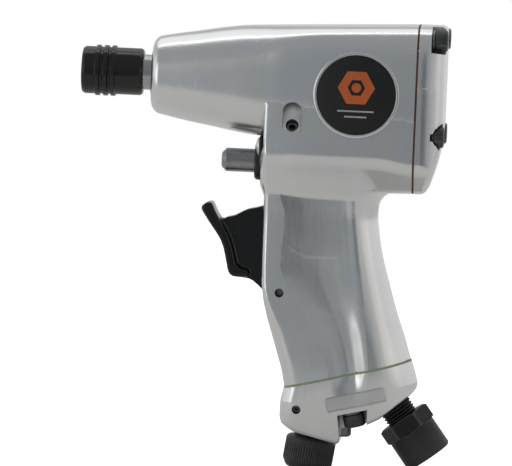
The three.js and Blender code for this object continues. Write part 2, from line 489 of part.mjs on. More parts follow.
add('detent_ball', ball(along(DETENT_TOP, DETENT_DIR, DETENT_LEN - 6.5), 1.75), STEEL());
add('detent_spring', spring(along(DETENT_TOP, DETENT_DIR, 13.5), DETENT_DIR, 1.3, DETENT_LEN - 6.5 - 1.75 - 0.25 - 13.5, 4, 0.3), STEEL());

// ---------------------------------------------------------------- anvil and quick-change chuck
const O = v3(0, 0, 0);
add('anvil_bushing', ringOf(-40.9, -22.3, 7.3, 9.7, O, X, 36), BRASS());
let anvil = turned([
  [-69.0, 0], [-69.0, 5.7], [-68.6, 6.2], [-68.4, 6.2], [-68.4, 5.7], [-67.2, 5.7], [-67.2, 6.2], [-44.9, 6.2], [-44.7, 7.05],
  [-21.6, 7.05], [-21.6, 6.3], [8.3, 6.3], [8.3, 0],
], O, X, 36);
for (const s of [-1, 1]) {
  // impact jaws
  anvil = anvil.add(rodX(-17.2, 8.1, 0, 0, 7.8, 32).intersect(s > 0 ? box(-18, 9, 2.0, 9, -3.2, 3.2) : box(-18, 9, -9, -2.0, -3.2, 3.2)));
}
anvil = anvil.subtract(hexBar(O, X, SOCKET_AF, -70, -69 + SOCKET_DEPTH)).subtract(rod(v3(BALL_X, 0, 1), v3(BALL_X, 0, 9), 1.9, 14));
add('anvil', anvil, STEEL());
add('bit_ball', ball(v3(BALL_X, 0, 4.6), 1.6), STEEL());
const rib = (x) => [[x - 1.15, 9.5], [x - 0.75, 10.15], [x + 0.75, 10.15], [x + 1.15, 9.5]];
add('chuck_sleeve', turned(closed([
  [-69.4, 8.3], [-69.5, 8.5], [-68.9, 9.1], [-67.6, 9.5], [-65.1, 9.5], ...rib(-63.2), ...rib(-60.0), ...rib(-57.0), [-55.7, 9.4], [-46.0, 9.4], [-45.0, 8.5],
  [-45.0, 6.5], [-52.3, 6.5], [-52.3, 7.64], [-53.6, 7.64], [-57.6, 6.5], [-60.0, 6.5], [-60.0, 8.3],
]), O, X, 40), BLACK_OXIDE());
add('chuck_ring', ringOf(-68.2, -67.4, 6.0, 8.0, O, X, 28), DARK_STEEL());
add('chuck_spring', spring(v3(-67.1, 0, 0), X, 7.3, 6.8, 3, 0.35), STEEL());

// ---------------------------------------------------------------- twin-dog impact mechanism
const PIN_Z = 11.9;
let cage = rodX(-21.2, -18.2, 0, 0, 15.1, 32).subtract(rodX(-22, -18, 0, 0, 7.3, 28))
  .add(rodX(9.2, 12.2, 0, 0, 15.1, 32).subtract(rodX(9, 13, 0, 0, 4.3, 20)));
for (const s of [-1, 1]) {
  cage = cage.add(rodX(-19, 10, 0, 0, 15.1, 32).intersect(s > 0 ? box(-19, 10, 12.4, 16, -5, 5) : box(-19, 10, -16, -12.4, -5, 5)));
  cage = cage.subtract(rodX(-30, 20, 0, s * PIN_Z, 2.0, 16));
}
add('hammer_cage', cage, DARK_STEEL());
add('hammer_pin_1', rodX(-20.9, 11.9, 0, PIN_Z, 1.7, 16), STEEL());
add('hammer_pin_2', rodX(-20.9, 11.9, 0, -PIN_Z, 1.7, 16), STEEL());
function dog(x0, x1, s) {
  return rodX(x0, x1, 0, 0, 11.2, 32).add(rodX(x0, x1, 0, s * PIN_Z, 3.2, 20))
    .subtract(rodX(x0 - 1, x1 + 1, 0, 0, 8.9, 32))
    .subtract(rodX(x0 - 1, x1 + 1, 0, s * PIN_Z, 2.0, 16))
    .subtract(s > 0 ? box(x0 - 1, x1 + 1, -4.1, 4.1, -13, -9.9) : box(x0 - 1, x1 + 1, -4.1, 4.1, 9.9, 13));
}
add('hammer_dog_1', dog(-17.7, -4.9, 1), DARK_STEEL());
add('hammer_dog_2', dog(-4.5, 8.7, -1), DARK_STEEL());

// ---------------------------------------------------------------- vane motor
let frontPlate = turned(closed([[14.7, 9.8], [14.7, 18.7], [22.6, 18.7], [22.6, 5.0], [20.9, 5.0], [20.9, 9.8]]), O, X, 40);
add('front_end_plate', frontPlate, DARK_STEEL());
let rearPlate = turned(closed([[49.9, 5.0], [49.9, 18.7], [57.3, 18.7], [57.3, 9.8], [51.6, 9.8], [51.6, 5.0]]), O, X, 40);
add('rear_end_plate', rearPlate, DARK_STEEL());
let cyl = rodX(22.9, 49.6, 0, 0, 18.7, 40).subtract(rodX(22, 50, 0, -CYL_OFFSET, CYL_BORE_R, 40));
for (const x of PORT_X) cyl = cyl.subtract(rod(v3(x, 0, -20), v3(x, 0, -12), 2.0, 12));
cyl = cyl.subtract(rod(v3(31, 11, -20), v3(31, 11, -8), 2.2, 12));
add('motor_cylinder', cyl, STEEL());
let rotor = turned([[9.4, 0], [9.4, 4.0], [23.2, 4.0], [23.2, ROTOR_R], [49.3, ROTOR_R], [49.3, 4.0], [57.2, 4.0], [57.2, 0]], O, X, 40);
const vaneAngles = [45, 135, 225, 315];
const radialBox = (x0, x1, r0, r1, half, deg) => {
  const a = deg * Math.PI / 180;
  const g = new THREE.BoxGeometry(x1 - x0, 2 * half, r1 - r0);
  g.translate((x0 + x1) / 2, 0, (r0 + r1) / 2);
  g.applyMatrix4(new THREE.Matrix4().makeRotationX(-a));
  return solid(g);
};
for (const a of vaneAngles) rotor = rotor.subtract(radialBox(22, 51, 6.4, 16, 1.15, a));
add('rotor', rotor, STEEL());
vaneAngles.forEach((a, k) => add(`vane_${k + 1}`, radialBox(23.4, 49.1, 6.8, 13.95, 0.85, a), mat(0x6b4a2a, 0.7, 0)));
add('front_bearing', ringOf(15.0, 20.6, 4.3, 9.5, O, X, 32), STEEL());
add('rear_bearing', ringOf(51.9, 57.0, 4.3, 9.5, O, X, 32), STEEL());

const group = new THREE.Group();
group.add(design);
export default group;
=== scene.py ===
import math

import bmesh
import bpy
import numpy as np
from mathutils import Matrix, Quaternion, Vector


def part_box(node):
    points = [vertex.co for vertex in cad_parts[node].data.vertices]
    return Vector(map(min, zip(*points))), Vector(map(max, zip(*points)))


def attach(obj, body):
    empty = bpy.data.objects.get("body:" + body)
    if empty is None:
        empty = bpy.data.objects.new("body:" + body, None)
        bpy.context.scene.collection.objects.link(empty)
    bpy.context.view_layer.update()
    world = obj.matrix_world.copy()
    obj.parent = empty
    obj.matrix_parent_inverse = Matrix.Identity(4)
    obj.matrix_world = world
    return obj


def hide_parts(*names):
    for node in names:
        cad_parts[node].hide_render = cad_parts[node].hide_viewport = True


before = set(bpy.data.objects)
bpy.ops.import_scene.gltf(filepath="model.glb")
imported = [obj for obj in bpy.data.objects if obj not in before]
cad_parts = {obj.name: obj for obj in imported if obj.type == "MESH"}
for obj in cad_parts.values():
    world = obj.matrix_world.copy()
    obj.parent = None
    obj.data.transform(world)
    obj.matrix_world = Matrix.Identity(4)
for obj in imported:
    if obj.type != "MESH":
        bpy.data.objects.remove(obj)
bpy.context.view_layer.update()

# The design frame has the spindle axis on y = 0, z = 0, in millimetres, nose towards -x.
# The row frame is metres, standing on z = 0.  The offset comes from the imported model.
_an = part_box("anvil")
OX = _an[0][0] * 1000.0 + 69.0
OZ = (_an[0][2] + _an[1][2]) * 500.0
OFF = np.array([OX, 0.0, OZ])


def row(p):
    """Design millimetres to row-frame metres."""
    return (np.asarray(p, float) + OFF) / 1000.0


# ------------------------------------------------------------------ small maths
def pchip(xs, ys):
    """Monotone cubic through the points, constant slope outside."""
    xs, ys = np.asarray(xs, float), np.asarray(ys, float)
    h = np.diff(xs)
    d = np.diff(ys) / h
    m = np.zeros_like(xs)
    m[0], m[-1] = d[0], d[-1]
    for i in range(1, len(xs) - 1):
        if d[i - 1] * d[i] > 0:
            w1, w2 = 2 * h[i] + h[i - 1], h[i] + 2 * h[i - 1]
            m[i] = (w1 + w2) / (w1 / d[i - 1] + w2 / d[i])

    def f(x):
        x = np.asarray(x, float)
        i = np.clip(np.searchsorted(xs, x) - 1, 0, len(h) - 1)
        t = (x - xs[i]) / h[i]
        tc = np.clip(t, 0, 1)
        v = ((1 + 2 * tc) * (1 - tc) ** 2 * ys[i] + tc * (1 - tc) ** 2 * h[i] * m[i]
             + tc * tc * (3 - 2 * tc) * ys[i + 1] + tc * tc * (tc - 1) * h[i] * m[i + 1])
        v = np.where(x < xs[0], ys[0] + (x - xs[0]) * m[0], v)
        return np.where(x > xs[-1], ys[-1] + (x - xs[-1]) * m[-1], v)

    return f


def sstep(a, b, x):
    t = np.clip((x - a) / (b - a), 0, 1)
    return t * t * (3 - 2 * t)


def r_and(a, b, r):
    """Intersection with a rounded edge of radius r."""
    ua, ub = np.maximum(r + a, 0), np.maximum(r + b, 0)
    return np.minimum(-r, np.maximum(a, b)) + np.sqrt(ua * ua + ub * ub)


def r_or(a, b, r):
    """Union with a filleted seam of radius r."""
    ua, ub = np.maximum(r - a, 0), np.maximum(r - b, 0)
    return np.maximum(r, np.minimum(a, b)) - np.sqrt(ua * ua + ub * ub)


def cut(a, b, r=0.0):
    """Takes b out of a. Radii too small for the mesh are left sharp."""
    return r_and(a, -b, r) if r > 0.6 else np.maximum(a, -b)


def d_cyl(p, a, b, r):
    """Distance to a flat-ended cylinder from a to b."""
    a, b = np.asarray(a, float), np.asarray(b, float)
    ax = b - a
    n = np.linalg.norm(ax)
    ax = ax / n
    q = p - a
    t = q @ ax
    rad = np.sqrt(np.maximum(np.einsum("ij,ij->i", q, q) - t * t, 0))
    return np.maximum(rad - r, np.maximum(-t, t - n))


def d_box(p, lo, hi):
    lo, hi = np.asarray(lo, float), np.asarray(hi, float)
    return np.max(np.maximum(lo - p, p - hi), axis=1)


def d_poly(u, v, pts):
    """Signed distance to a closed polygon in a plane."""
    pts = np.asarray(pts, float)
    best = np.full(u.shape, 1e9)
    inside = np.zeros(u.shape, bool)
    for i in range(len(pts)):
        a, b = pts[i], pts[(i + 1) % len(pts)]
        e = b - a
        wx, wy = u - a[0], v - a[1]
        t = np.clip((wx * e[0] + wy * e[1]) / max(e @ e, 1e-12), 0, 1)
        dx, dy = wx - e[0] * t, wy - e[1] * t
        best = np.minimum(best, dx * dx + dy * dy)
        c = (a[1] > v) != (b[1] > v)
        with np.errstate(divide="ignore", invalid="ignore"):
            xc = a[0] + (v - a[1]) / (b[1] - a[1] if b[1] != a[1] else 1e-12) * (b[0] - a[0])
        inside ^= c & (u < xc)
    return np.where(inside, -1, 1) * np.sqrt(best)


def spline_pts(pts, per=8):
    """Closed Catmull-Rom through the points, for smooth outlines."""
    p = np.asarray(pts, float)
    n = len(p)
    out = []
    for i in range(n):
        a, b, c, d = p[i - 1], p[i], p[(i + 1) % n], p[(i + 2) % n]
        for k in range(per):
            t = k / per
            out.append(0.5 * (2 * b + (c - a) * t + (2 * a - 5 * b + 4 * c - d) * t * t + (3 * b - a - 3 * c + d) * t ** 3))
    return np.array(out)


# ------------------------------------------------------------------ surface from a distance field
def contour(f, lo, hi, h):
    """Dual contouring: quads on f = 0 that keep both smooth faces and crisp edges."""
    lo, hi = np.asarray(lo, float), np.asarray(hi, float)
    n = np.ceil((hi - lo) / h).astype(int) + 1
    ax = [lo[k] + h * np.arange(n[k]) for k in range(3)]
    val = np.empty(n, np.float32)
    yy, zz = np.meshgrid(ax[1], ax[2], indexing="ij")
    yy, zz = yy.ravel(), zz.ravel()
    step = max(1, 400000 // len(yy))
    for i in range(0, n[0], step):
        xs = ax[0][i:i + step]
        p = np.empty((len(xs), len(yy), 3))
        p[:, :, 0] = xs[:, None]
        p[:, :, 1] = yy
        p[:, :, 2] = zz
        val[i:i + step] = f(p.reshape(-1, 3)).reshape(len(xs), n[1], n[2])
    neg = val < 0
    acc_a, acc_b, acc_m, acc_i = [], [], [], []
    quads = []
    cell_n = n - 1

    def cid(ix, iy, iz):
        return (ix * cell_n[1] + iy) * cell_n[2] + iz

    for d in range(3):
        s0 = [slice(None)] * 3
        s1 = [slice(None)] * 3
        s0[d], s1[d] = slice(0, -1), slice(1, None)
        a, b = neg[tuple(s0)], neg[tuple(s1)]
        idx = np.argwhere(a != b)
        u, w = (d + 1) % 3, (d + 2) % 3
        ok = (idx[:, u] > 0) & (idx[:, w] > 0) & (idx[:, u] < n[u] - 1) & (idx[:, w] < n[w] - 1)
        idx = idx[ok]
        p0 = lo + h * idx
        p1 = p0.copy()
        p1[:, d] += h
        v0 = val[tuple(idx.T)].astype(float)
        j = idx.copy()
        j[:, d] += 1
        v1 = val[tuple(j.T)].astype(float)
        t0, t1 = np.zeros(len(idx)), np.ones(len(idx))
        for _ in range(3):
            t = np.clip(t0 + (t1 - t0) * v0 / (v0 - v1), t0 + 0.02 * (t1 - t0), t1 - 0.02 * (t1 - t0))
            q = p0.copy()
            q[:, d] += h * t
            v = f(q)
            same = np.sign(v) == np.sign(v0)
            t0, v0 = np.where(same, t, t0), np.where(same, v, v0)
            t1, v1 = np.where(same, t1, t), np.where(same, v1, v)
        t = t0 + (t1 - t0) * v0 / np.where(v0 == v1, 1, v0 - v1)
        q = p0.copy()
        q[:, d] += h * t
        g = gradient(f, q)
        cells = []
        for du, dw in ((0, 0), (1, 0), (1, 1), (0, 1)):
            c = idx.copy()
            c[:, u] -= 1 - du
            c[:, w] -= 1 - dw
            cells.append(cid(c[:, 0], c[:, 1], c[:, 2]))
        cells = np.stack(cells, 1)
        flip = ~a[tuple(idx.T)]
        qd = cells.copy()
        qd[flip] = qd[flip][:, ::-1]
        quads.append(qd)
        gg = g[:, :, None] * g[:, None, :]
        gb = g * np.einsum("ij,ij->i", g, q)[:, None]
        for k in range(4):
            acc_i.append(cells[:, k])
            acc_a.append(gg.reshape(-1, 9))
            acc_b.append(gb)
            acc_m.append(q)
    ids = np.concatenate(acc_i)
    used, inv = np.unique(ids, return_inverse=True)
    m = len(used)
    A = np.zeros((m, 9))
    B = np.zeros((m, 3))
    C = np.zeros((m, 3))
    cnt = np.bincount(inv, minlength=m).astype(float)
    aa, bb, mm = np.concatenate(acc_a), np.concatenate(acc_b), np.concatenate(acc_m)
    for k in range(9):
        A[:, k] = np.bincount(inv, aa[:, k], m)
    for k in range(3):
        B[:, k] = np.bincount(inv, bb[:, k], m)
        C[:, k] = np.bincount(inv, mm[:, k], m)
    C /= cnt[:, None]
    A = A.reshape(-1, 3, 3)
    lam = 0.03
    A[:, 0, 0] += lam
    A[:, 1, 1] += lam
    A[:, 2, 2] += lam
    x = np.linalg.solve(A, (B + lam * C)[:, :, None])[:, :, 0]
    ix = used // (cell_n[1] * cell_n[2])
    iy = used // cell_n[2] % cell_n[1]
    iz = used % cell_n[2]
    c0 = lo + h * np.stack([ix, iy, iz], 1)
    x = np.clip(x, c0 - 0.05 * h, c0 + 1.05 * h)
    q = np.concatenate(quads)
    q = np.searchsorted(used, q)
    return x, q


def gradient(f, p, e=0.02):
    g = np.empty_like(p)
    for k in range(3):
        s = np.zeros(3)
        s[k] = e
        g[:, k] = f(p + s) - f(p - s)
    return g / np.maximum(np.linalg.norm(g, axis=1, keepdims=True), 1e-9)


def field_mesh(name, f, lo, hi, h):
    """A Blender object from a distance field in design millimetres, with exact normals."""
    v, q = contour(f, lo, hi, h)
    # split vertices that join two sheets are rare; drop quads that have collapsed
    ok = (q[:, 0] != q[:, 2]) & (q[:, 1] != q[:, 3])
    q = q[ok]
    me = bpy.data.meshes.new(name)
    me.from_pydata(row(v).tolist(), [], q.tolist())
    me.validate()
    me.update()
    loops = np.empty(len(me.loops), np.int32)
    me.loops.foreach_get("vertex_index", loops)
    starts = np.empty(len(me.polygons), np.int32)
    totals = np.empty(len(me.polygons), np.int32)
    me.polygons.foreach_get("loop_start", starts)
    me.polygons.foreach_get("loop_total", totals)
    face_of = np.repeat(np.arange(len(starts)), totals)
    mid = np.zeros((len(starts), 3))
    for k in range(3):
        mid[:, k] = np.bincount(face_of, v[loops][:, k], len(starts)) / totals
    p = 0.72 * v[loops] + 0.28 * mid[face_of]
    g = gradient(f, p, 0.05)
    me.polygons.foreach_set("use_smooth", np.ones(len(me.polygons), bool))
    me.normals_split_custom_set(g.tolist())
    o = bpy.data.objects.new(name, me)
    bpy.context.scene.collection.objects.link(o)
    return o


# ------------------------------------------------------------------ dimensions of the castings, mm
NOSE_FRONT = -41.2
BLOCK_FRONT = 5.4
BODY_REAR = 64.7
BLOCK_BOTTOM = -43.6
REVERSE_Z = -33.5
SLOPE = math.atan2(12.2, 50.3)
BN = np.array([math.sin(SLOPE), 0.0, -math.cos(SLOPE)])      # out of the base joint, downwards
BU = np.array([math.cos(SLOPE), 0.0, math.sin(SLOPE)])       # along the base joint, to the rear
BASE_MID = np.array([42.15, 0.0, -115.9])
KNOB_AXIS = np.array([-0.141, 0.0, -0.990]) / math.hypot(0.141, 0.990)
KNOB_O = np.array([28.2, 0.0, -144.9])
INLET_AXIS = np.array([0.5976, 0.0, -0.8017]) / math.hypot(0.5976, 0.8017)
INLET_O = np.array([61.2, 0.0, -129.4])
REAR_SPOTS = [(-19.0, 18.0), (19.0, 18.0), (-19.0, -20.0), (19.0, -20.0)]
BASE_Y = 12.0


def base_screw_mid(y):
    return np.array([45.7, y, -134.8])


top_z = pchip([-41.2, -37.5, -32.7, -23.2, -13.6, -4.1, 12.7, 36.7, 60.7, 76.0],
              [14.3, 15.05, 16.0, 17.6, 19.35, 20.6, 21.5, 22.6, 23.6, 24.2])
nose_bot = pchip([-41.2, -38.6, -26.4, -16.8, -7.1, 0.2, 12.0], [-15.6, -16.2, -18.7, -20.3, -22.0, -23.0, -23.8])
half_w = pchip([-41.2, -37.5, -23, -13.6, -4, 4.5, 12.7, 36.7, 64.7, 80], [14.9, 15.6, 18.3, 20.0, 21.8, 23.2, 24.4, 25.5, 26.1, 26.3])
n_up = pchip([-41.2, -23, -4, 4.5, 14, 26, 64.7], [2.15, 2.35, 2.7, 3.1, 3.9, 4.9, 5.6])
n_nose = pchip([-41.2, -23, -4, 4.5, 14], [2.15, 2.35, 2.6, 2.8, 3.0])


def lobe(x, y, z, w, h, n, crown=0.0):
    """First-order distance to a superellipse half-section."""
    u, v = np.abs(y) / w, np.abs(z) / h
    v = v + crown * u * u * v
    s = np.maximum(u ** n + v ** n, 1e-9)
    F = s ** (1 / n)
    gu = (u ** (n - 1)) / (w * F ** (n - 1))
    gv = (v ** (n - 1)) / (h * F ** (n - 1))
    return (F - 1) / np.maximum(np.sqrt(gu * gu + gv * gv), 0.015)


def upper(p):
    """Upper half of the barrel, one surface from nose to rear."""
    x, y, z = p[:, 0], p[:, 1], p[:, 2] + 1.0
    return lobe(x, y, z, half_w(x), top_z(x) + 1.0, n_up(x), 0.035)


def d_nose(p):
    x, y, z = p[:, 0], p[:, 1], p[:, 2] + 1.0
    low = lobe(x, y, z, half_w(x), -(nose_bot(x) + 1.0), n_nose(x))
    d = np.where(z > 0, upper(p), low)
    return r_and(d, NOSE_FRONT - x, 3.2)


def section_low(p):
    """Lower half of the block: flat side, slanted shoulder, flat underside."""
    x, y, z = p[:, 0], np.abs(p[:, 1]), p[:, 2]
    w = half_w(x) - 0.42 * sstep(0.5, -4.6, z) * sstep(-8, 6, x)
    side = y - w + 0.30 * np.clip((-z - 6) / 25, 0, 1.4) ** 2
    k = sstep(50, 66, x)
    shoulder = (y - w) * 0.74 + (-31.5 - 2.0 * k - z) * 0.672
    d = r_and(side, shoulder, 2.2)
    return r_and(d, BLOCK_BOTTOM - z + 0.4 * k, 2.0)


def d_block(p, front=True):
    x, z = p[:, 0], p[:, 2]
    d = np.where(z > -1, upper(p), section_low(p))
    if front:
        d = r_and(d, BLOCK_FRONT + np.clip(-23 - z, 0, 30) * 0.063 - x, 0.9)
    return d


# grip: outline in x-z, half-width over it
grip_front = pchip([-140, -122.0, -116, -108, -100, -94.1, -86.8, -80, -70, -55, -43.6, -30],
                   [21.8, 17.2, 15.9, 13.4, 10.8, 9.0, 7.35, 6.6, 6.3, 6.2, 6.1, 5.9])
grip_back = pchip([-135, -109.8, -101.2, -91.7, -79.9, -70.4, -60.9, -53.7, -46.4, -36],
                  [76.0, 67.3, 64.3, 60.7, 57.0, 54.2, 52.2, 51.2, 51.6, 53.0])
crease = pchip([-125, -116.3, -105.5, -95, -88, -82, -77, -72.5, -63, -54.6, -45.8, -38],
               [36.4, 35.2, 31.9, 25.6, 20.8, 17.2, 14.9, 14.0, 14.5, 15.0, 12.6, 10.8])
ridge = pchip([-125, -109.3, -97, -83.9, -66, -49, -40], [52.0, 50.2, 48.8, 47.2, 44.6, 42.6, 42.0])
grip_w = pchip([-126, -116, -100, -88, -72, -58, -48, -38], [19.0, 18.9, 18.3, 17.6, 17.0, 17.0, 17.4, 18.2])


g_flange = pchip([-0.6, 0.0, 0.25, 0.55, 0.85, 1.0], [-0.95, -0.42, -0.14, 0.0, 0.07, 0.08])
g_palm_top = pchip([0.0, 0.03, 0.10, 0.30, 0.60, 0.78, 0.86, 0.97, 1.0], [0.08, -0.06, -0.34, -0.90, -1.16, -1.14, -0.98, 0.08, 0.20])
g_palm_low = pchip([0.0, 0.04, 0.15, 0.35, 0.50, 0.62, 0.95, 1.0], [0.08, -0.10, -0.55, -1.45, -1.92, -1.84, 0.10, 0.20])
g_rear = pchip([0.0, 0.7, 2.5, 5.0, 8.0, 12.0, 18.0, 30.0], [0.20, 0.12, -0.10, -0.62, -1.75, -4.2, -9.5, -22.0])


def g_palm(t, z):
    """Hollow for the palm. Its rear slope is broader low on the grip."""
    k = sstep(-62, -98, z)
    return g_palm_top(t) * (1 - k) + g_palm_low(t) * k


def palm_steps(x, z, a, b):
    """Very shallow dressed patches low in the palm."""
    t = (x - a) / (b - a)
    e1 = (z + 66.5) + 3.2 * sstep(0.05, 0.36, t) - 3.5 * (1 - sstep(0.0, 0.13, t)) - 0.6 * t
    e2 = t - 0.74 + 0.05 * sstep(-82, -92, z)
    e3 = (-92.5 - z) - 1.2 * sstep(0.2, 0.6, t)
    m = np.maximum(np.maximum(e1 / 1.1, e3 / 1.1), e2 * 18)
    return 0.045 * (1 - sstep(-1.3, 0.15, m)) * sstep(0.02, 0.10, t)


def grip_half(x, z):
    w = grip_w(z)
    f, a, b = grip_front(z), crease(z), ridge(z)
    g = np.where(x < a, g_flange((x - f) / (a - f)), np.where(x < b, g_palm((x - a) / (b - a), z), g_rear(x - b)))
    return w + g - palm_steps(x, z, a, b)


def d_grip(p):
    x, y, z = p[:, 0], np.abs(p[:, 1]), p[:, 2]
    f, b = grip_front(z), grip_back(z)
    df = (f - x) * (1 - 0.045 * sstep(-84, -95, z))
    db = (x - b) * (1 - 0.05 * sstep(-60, -85, z))
    side = y - grip_half(x, z)
    rf = 2.0 + 3.6 * sstep(-82, -104, z)
    d = r_and(side, df, rf)
    d = r_and(d, db, 14.0)
    return r_and(d, z + 30, 2)


def along(o, d, s):
    return np.asarray(o, float) + np.asarray(d, float) * s


DT_TOP = np.array([16.6, -24.8, -16.6])
DT_DIR = np.array([0.0, 24.8, REVERSE_Z + 16.6])
DT_LEN = float(np.linalg.norm(DT_DIR))
DT_DIR = DT_DIR / DT_LEN
LABEL_C = np.array([41.5, -25.6, -4.6])
LEAN = math.atan2(0.7, 28)
LABEL_N = np.array([-math.sin(LEAN), -math.cos(LEAN), 0.0])


def d_housing(p):
    x, y, z = p[:, 0], p[:, 1], p[:, 2]
    d = np.minimum(d_nose(p), d_block(p))
    # the grip flows into the underside of the block
    d = r_or(d, d_grip(p), 6.2)
    d = np.maximum(d, (p - BASE_MID) @ BN)
    d = np.maximum(d, np.where(z > -62, x - BODY_REAR, -4.0))
    # bores
    d = cut(d, d_cyl(p, (-45, 0, 0), (-21.5, 0, 0), 10.0), 0.5)
    d = cut(d, d_cyl(p, (-22, 0, 0), (14.8, 0, 0), 15.6))
    d = cut(d, d_cyl(p, (14.3, 0, 0), (70, 0, 0), 19.0))
    d = cut(d, d_cyl(p, (0, 0, REVERSE_Z), (60, 0, REVERSE_Z), 6.5), 0.3)
    d = cut(d, d_box(p, (-5, -4.5, -89.6), (27.5, 4.5, -49.4)), 0.35)
    d = cut(d, d_cyl(p, (26, 0, -74), (49.6, 0, -74), 6.3))
    d = cut(d, d_cyl(p, (48, 0, -74), (52.2, 0, -74), 4.4))
    d = cut(d, d_cyl(p, (49.6, 0, -119), (49.6, 0, -77), 3.6))
    d = cut(d, d_cyl(p, (13.9, -24, -84.8), (13.9, 24, -84.8), 1.75), 0.2)
    for yy, zz in REAR_SPOTS:
        d = cut(d, d_cyl(p, (50.5, yy, zz), (70, yy, zz), 2.0))
    for s in (-1, 1):
        m = base_screw_mid(s * BASE_Y)
        d = cut(d, d_cyl(p, along(m, BN, -8), along(m, BN, -36), 2.75))
    d = cut(d, d_cyl(p, (0, -10, -27.2), (13, -10, -27.2), 2.2))
    # arched detent pocket with a sloping floor, deepest at the top
    arch = np.minimum(np.hypot(x - 16.6, z + 12.35) - 3.85, np.maximum(np.abs(x - 16.6) - 3.85, z + 12.35))
    arch = np.maximum(arch, -20.0 - z)
    floor_ = (y + 24.2) * 0.923 - (z + 20.0) * 0.385
    pocket = np.maximum(arch, floor_)
    pocket = np.maximum(pocket, y + 18.9)
    d = cut(d, pocket, 0.45)
    d = cut(d, d_cyl(p, along(DT_TOP, DT_DIR, -3), along(DT_TOP, DT_DIR, 14), 2.55), 0.3)
    d = cut(d, d_cyl(p, along(DT_TOP, DT_DIR, 13), along(DT_TOP, DT_DIR, DT_LEN - 4), 2.1))
    # label seat inside a low raised ring
    q = p - LABEL_C
    t = q @ LABEL_N
    rad = np.sqrt(np.maximum(np.einsum("ij,ij->i", q, q) - t * t, 0))
    d = cut(d, np.maximum(rad - 15.85, -(t + 0.6)), 0.15)
    return d


def d_cover(p):
    x, y, z = p[:, 0], p[:, 1], p[:, 2]
    q = p.copy()
    q[:, 0] = np.minimum(q[:, 0], 66.0)
    d = d_block(q, front=False)
    # rear outline in x-z
    rear = np.maximum(x - (76.0 + 0.0 * z), (x - 76.1) * 0.937 + (-23.8 - z) * 0.349)
    rear = r_and(x - 76.0, (x - 76.15) * 0.952 + (-24.6 - z) * 0.305, 3.0)
    d = r_and(d, (np.abs(y) - half_w(x) + 0.4 + x - 70.9) * 0.7071, 2.6)
    d = r_and(d, rear, 2.4)
    d = np.maximum(d, 65.5 - x)
    plug = np.maximum(np.hypot(y, z) - 18.6, np.maximum(57.6 - x, x - 67))
    d = np.minimum(d, plug)
    d = cut(d, d_cyl(p, (56, 0, 0), (69.5, 0, 0), 8.5))
    for yy, zz in REAR_SPOTS:
        s = np.sign(yy)
        d = cut(d, d_cyl(p, (56, yy, zz), (80, yy, zz), 2.75))
        seat = d_cyl(p, (70.3, yy, zz), (82, yy, zz), 5.3)
        if zz > 0:
            # the corner is open through the top and the side
            open_ = np.minimum(np.maximum(s * (19.0 - 5.3) - s * y, zz - z), np.maximum(19.0 - s * y, (zz - 1.6) - z))
            open_ = np.maximum(np.maximum(19.0 - 5.3 - s * y, zz - z), 70.3 - x)
            seat = np.minimum(seat, open_)
            seat = np.minimum(seat, np.maximum(np.maximum(19.0 - s * y, zz - 5.3 * np.sqrt(np.clip(1 - ((s * y - 19.0) / 14.0) ** 2, 0, 1)) - z), 70.3 - x))
        else:
            pass
        d = cut(d, seat, 0.35)
    return d


# base cap
CAP_OUT = [(15.6, -126.5), (15.25, -131), (15.2, -134.3), (16.4, -136.9), (21.4, -139.8), (29, -141.9), (36.9, -143.8), (39.2, -144.35),
           (40.3, -143.3), (40.5, -138.6), (50.9, -136.0), (55.2, -133.8), (61, -129.6), (66.6, -125.2), (70.0, -121.6), (70.75, -119.4), (69.6, -115.6), (67.5, -109.8),
           (67.2, -104), (20, -104), (17.0, -122.0)]


def cap_half(x, z):
    s = (x - BASE_MID[0]) * BN[0] + (z - BASE_MID[2]) * BN[2]      # depth below the joint
    f, a, b = 16.4, crease(-118.0), ridge(-112.0)
    g = np.where(x < a, g_flange((x - f) / (a - f)), np.where(x < b, g_palm((x - a) / (b - a), -112.0), g_rear(x - b)))
    g = np.where(x < b, g * (1 - 0.75 * sstep(0, 12, s)), g)
    return grip_w(-122.0) + g - 0.0035 * np.clip(s, 0, 40) ** 2


def d_cap(p):
    x, y, z = p[:, 0], p[:, 1], p[:, 2]
    ay = np.abs(y)
    s = (p - BASE_MID) @ BN
    side = ay - cap_half(x, z)
    out = d_poly(x, z, CAP_OUT)
    # front edge and rear edge of the plan, as on the grip
    df = 15.2 - x + np.clip(z + 128, 0, 7) * 0.17 + np.clip(-134.0 - z, 0, 12) * 0.0
    d = r_and(side, df * 0.985, 7.5)
    db = (x - (67.9 + 0.36 * np.clip(s, 0, 9.7))) * 0.97
    d = r_and(d, db, 13.0)
    d = r_and(d, out, 1.6)
    d = np.maximum(d, 0.8 - s)
    roof = -131.1 + (x - 45.1) * math.tan(SLOPE)
    pocket = np.maximum(np.maximum(39.1 + 0.11 * (roof - z) - x, x - 50.9), np.maximum(z - roof, 6.6 - ay))
    d = cut(d, pocket, 0.45)
    for k in (-1, 1):
        m = base_screw_mid(k * BASE_Y)
        d = cut(d, d_cyl(p, along(m, BN, 2), along(m, BN, -26), 2.75))
    d = cut(d, d_cyl(p, along(KNOB_O, KNOB_AXIS, 8), along(KNOB_O, KNOB_AXIS, -22.2), 7.5), 0.5)
    d = cut(d, d_cyl(p, (22.7, -25, -130.9), (22.7, 25, -130.9), 1.75), 0.2)
    d = cut(d, d_cyl(p, along(INLET_O, INLET_AXIS, 8), along(INLET_O, INLET_AXIS, -8.3), 7.15), 0.5)
    d = cut(d, d_cyl(p, along(INLET_O, INLET_AXIS, 0), along(INLET_O, INLET_AXIS, -24), 3.6))
    d = cut(d, d_cyl(p, (40.6, 0, -152), (40.6, 0, -131.5), 3.9), 0.3)
    return d


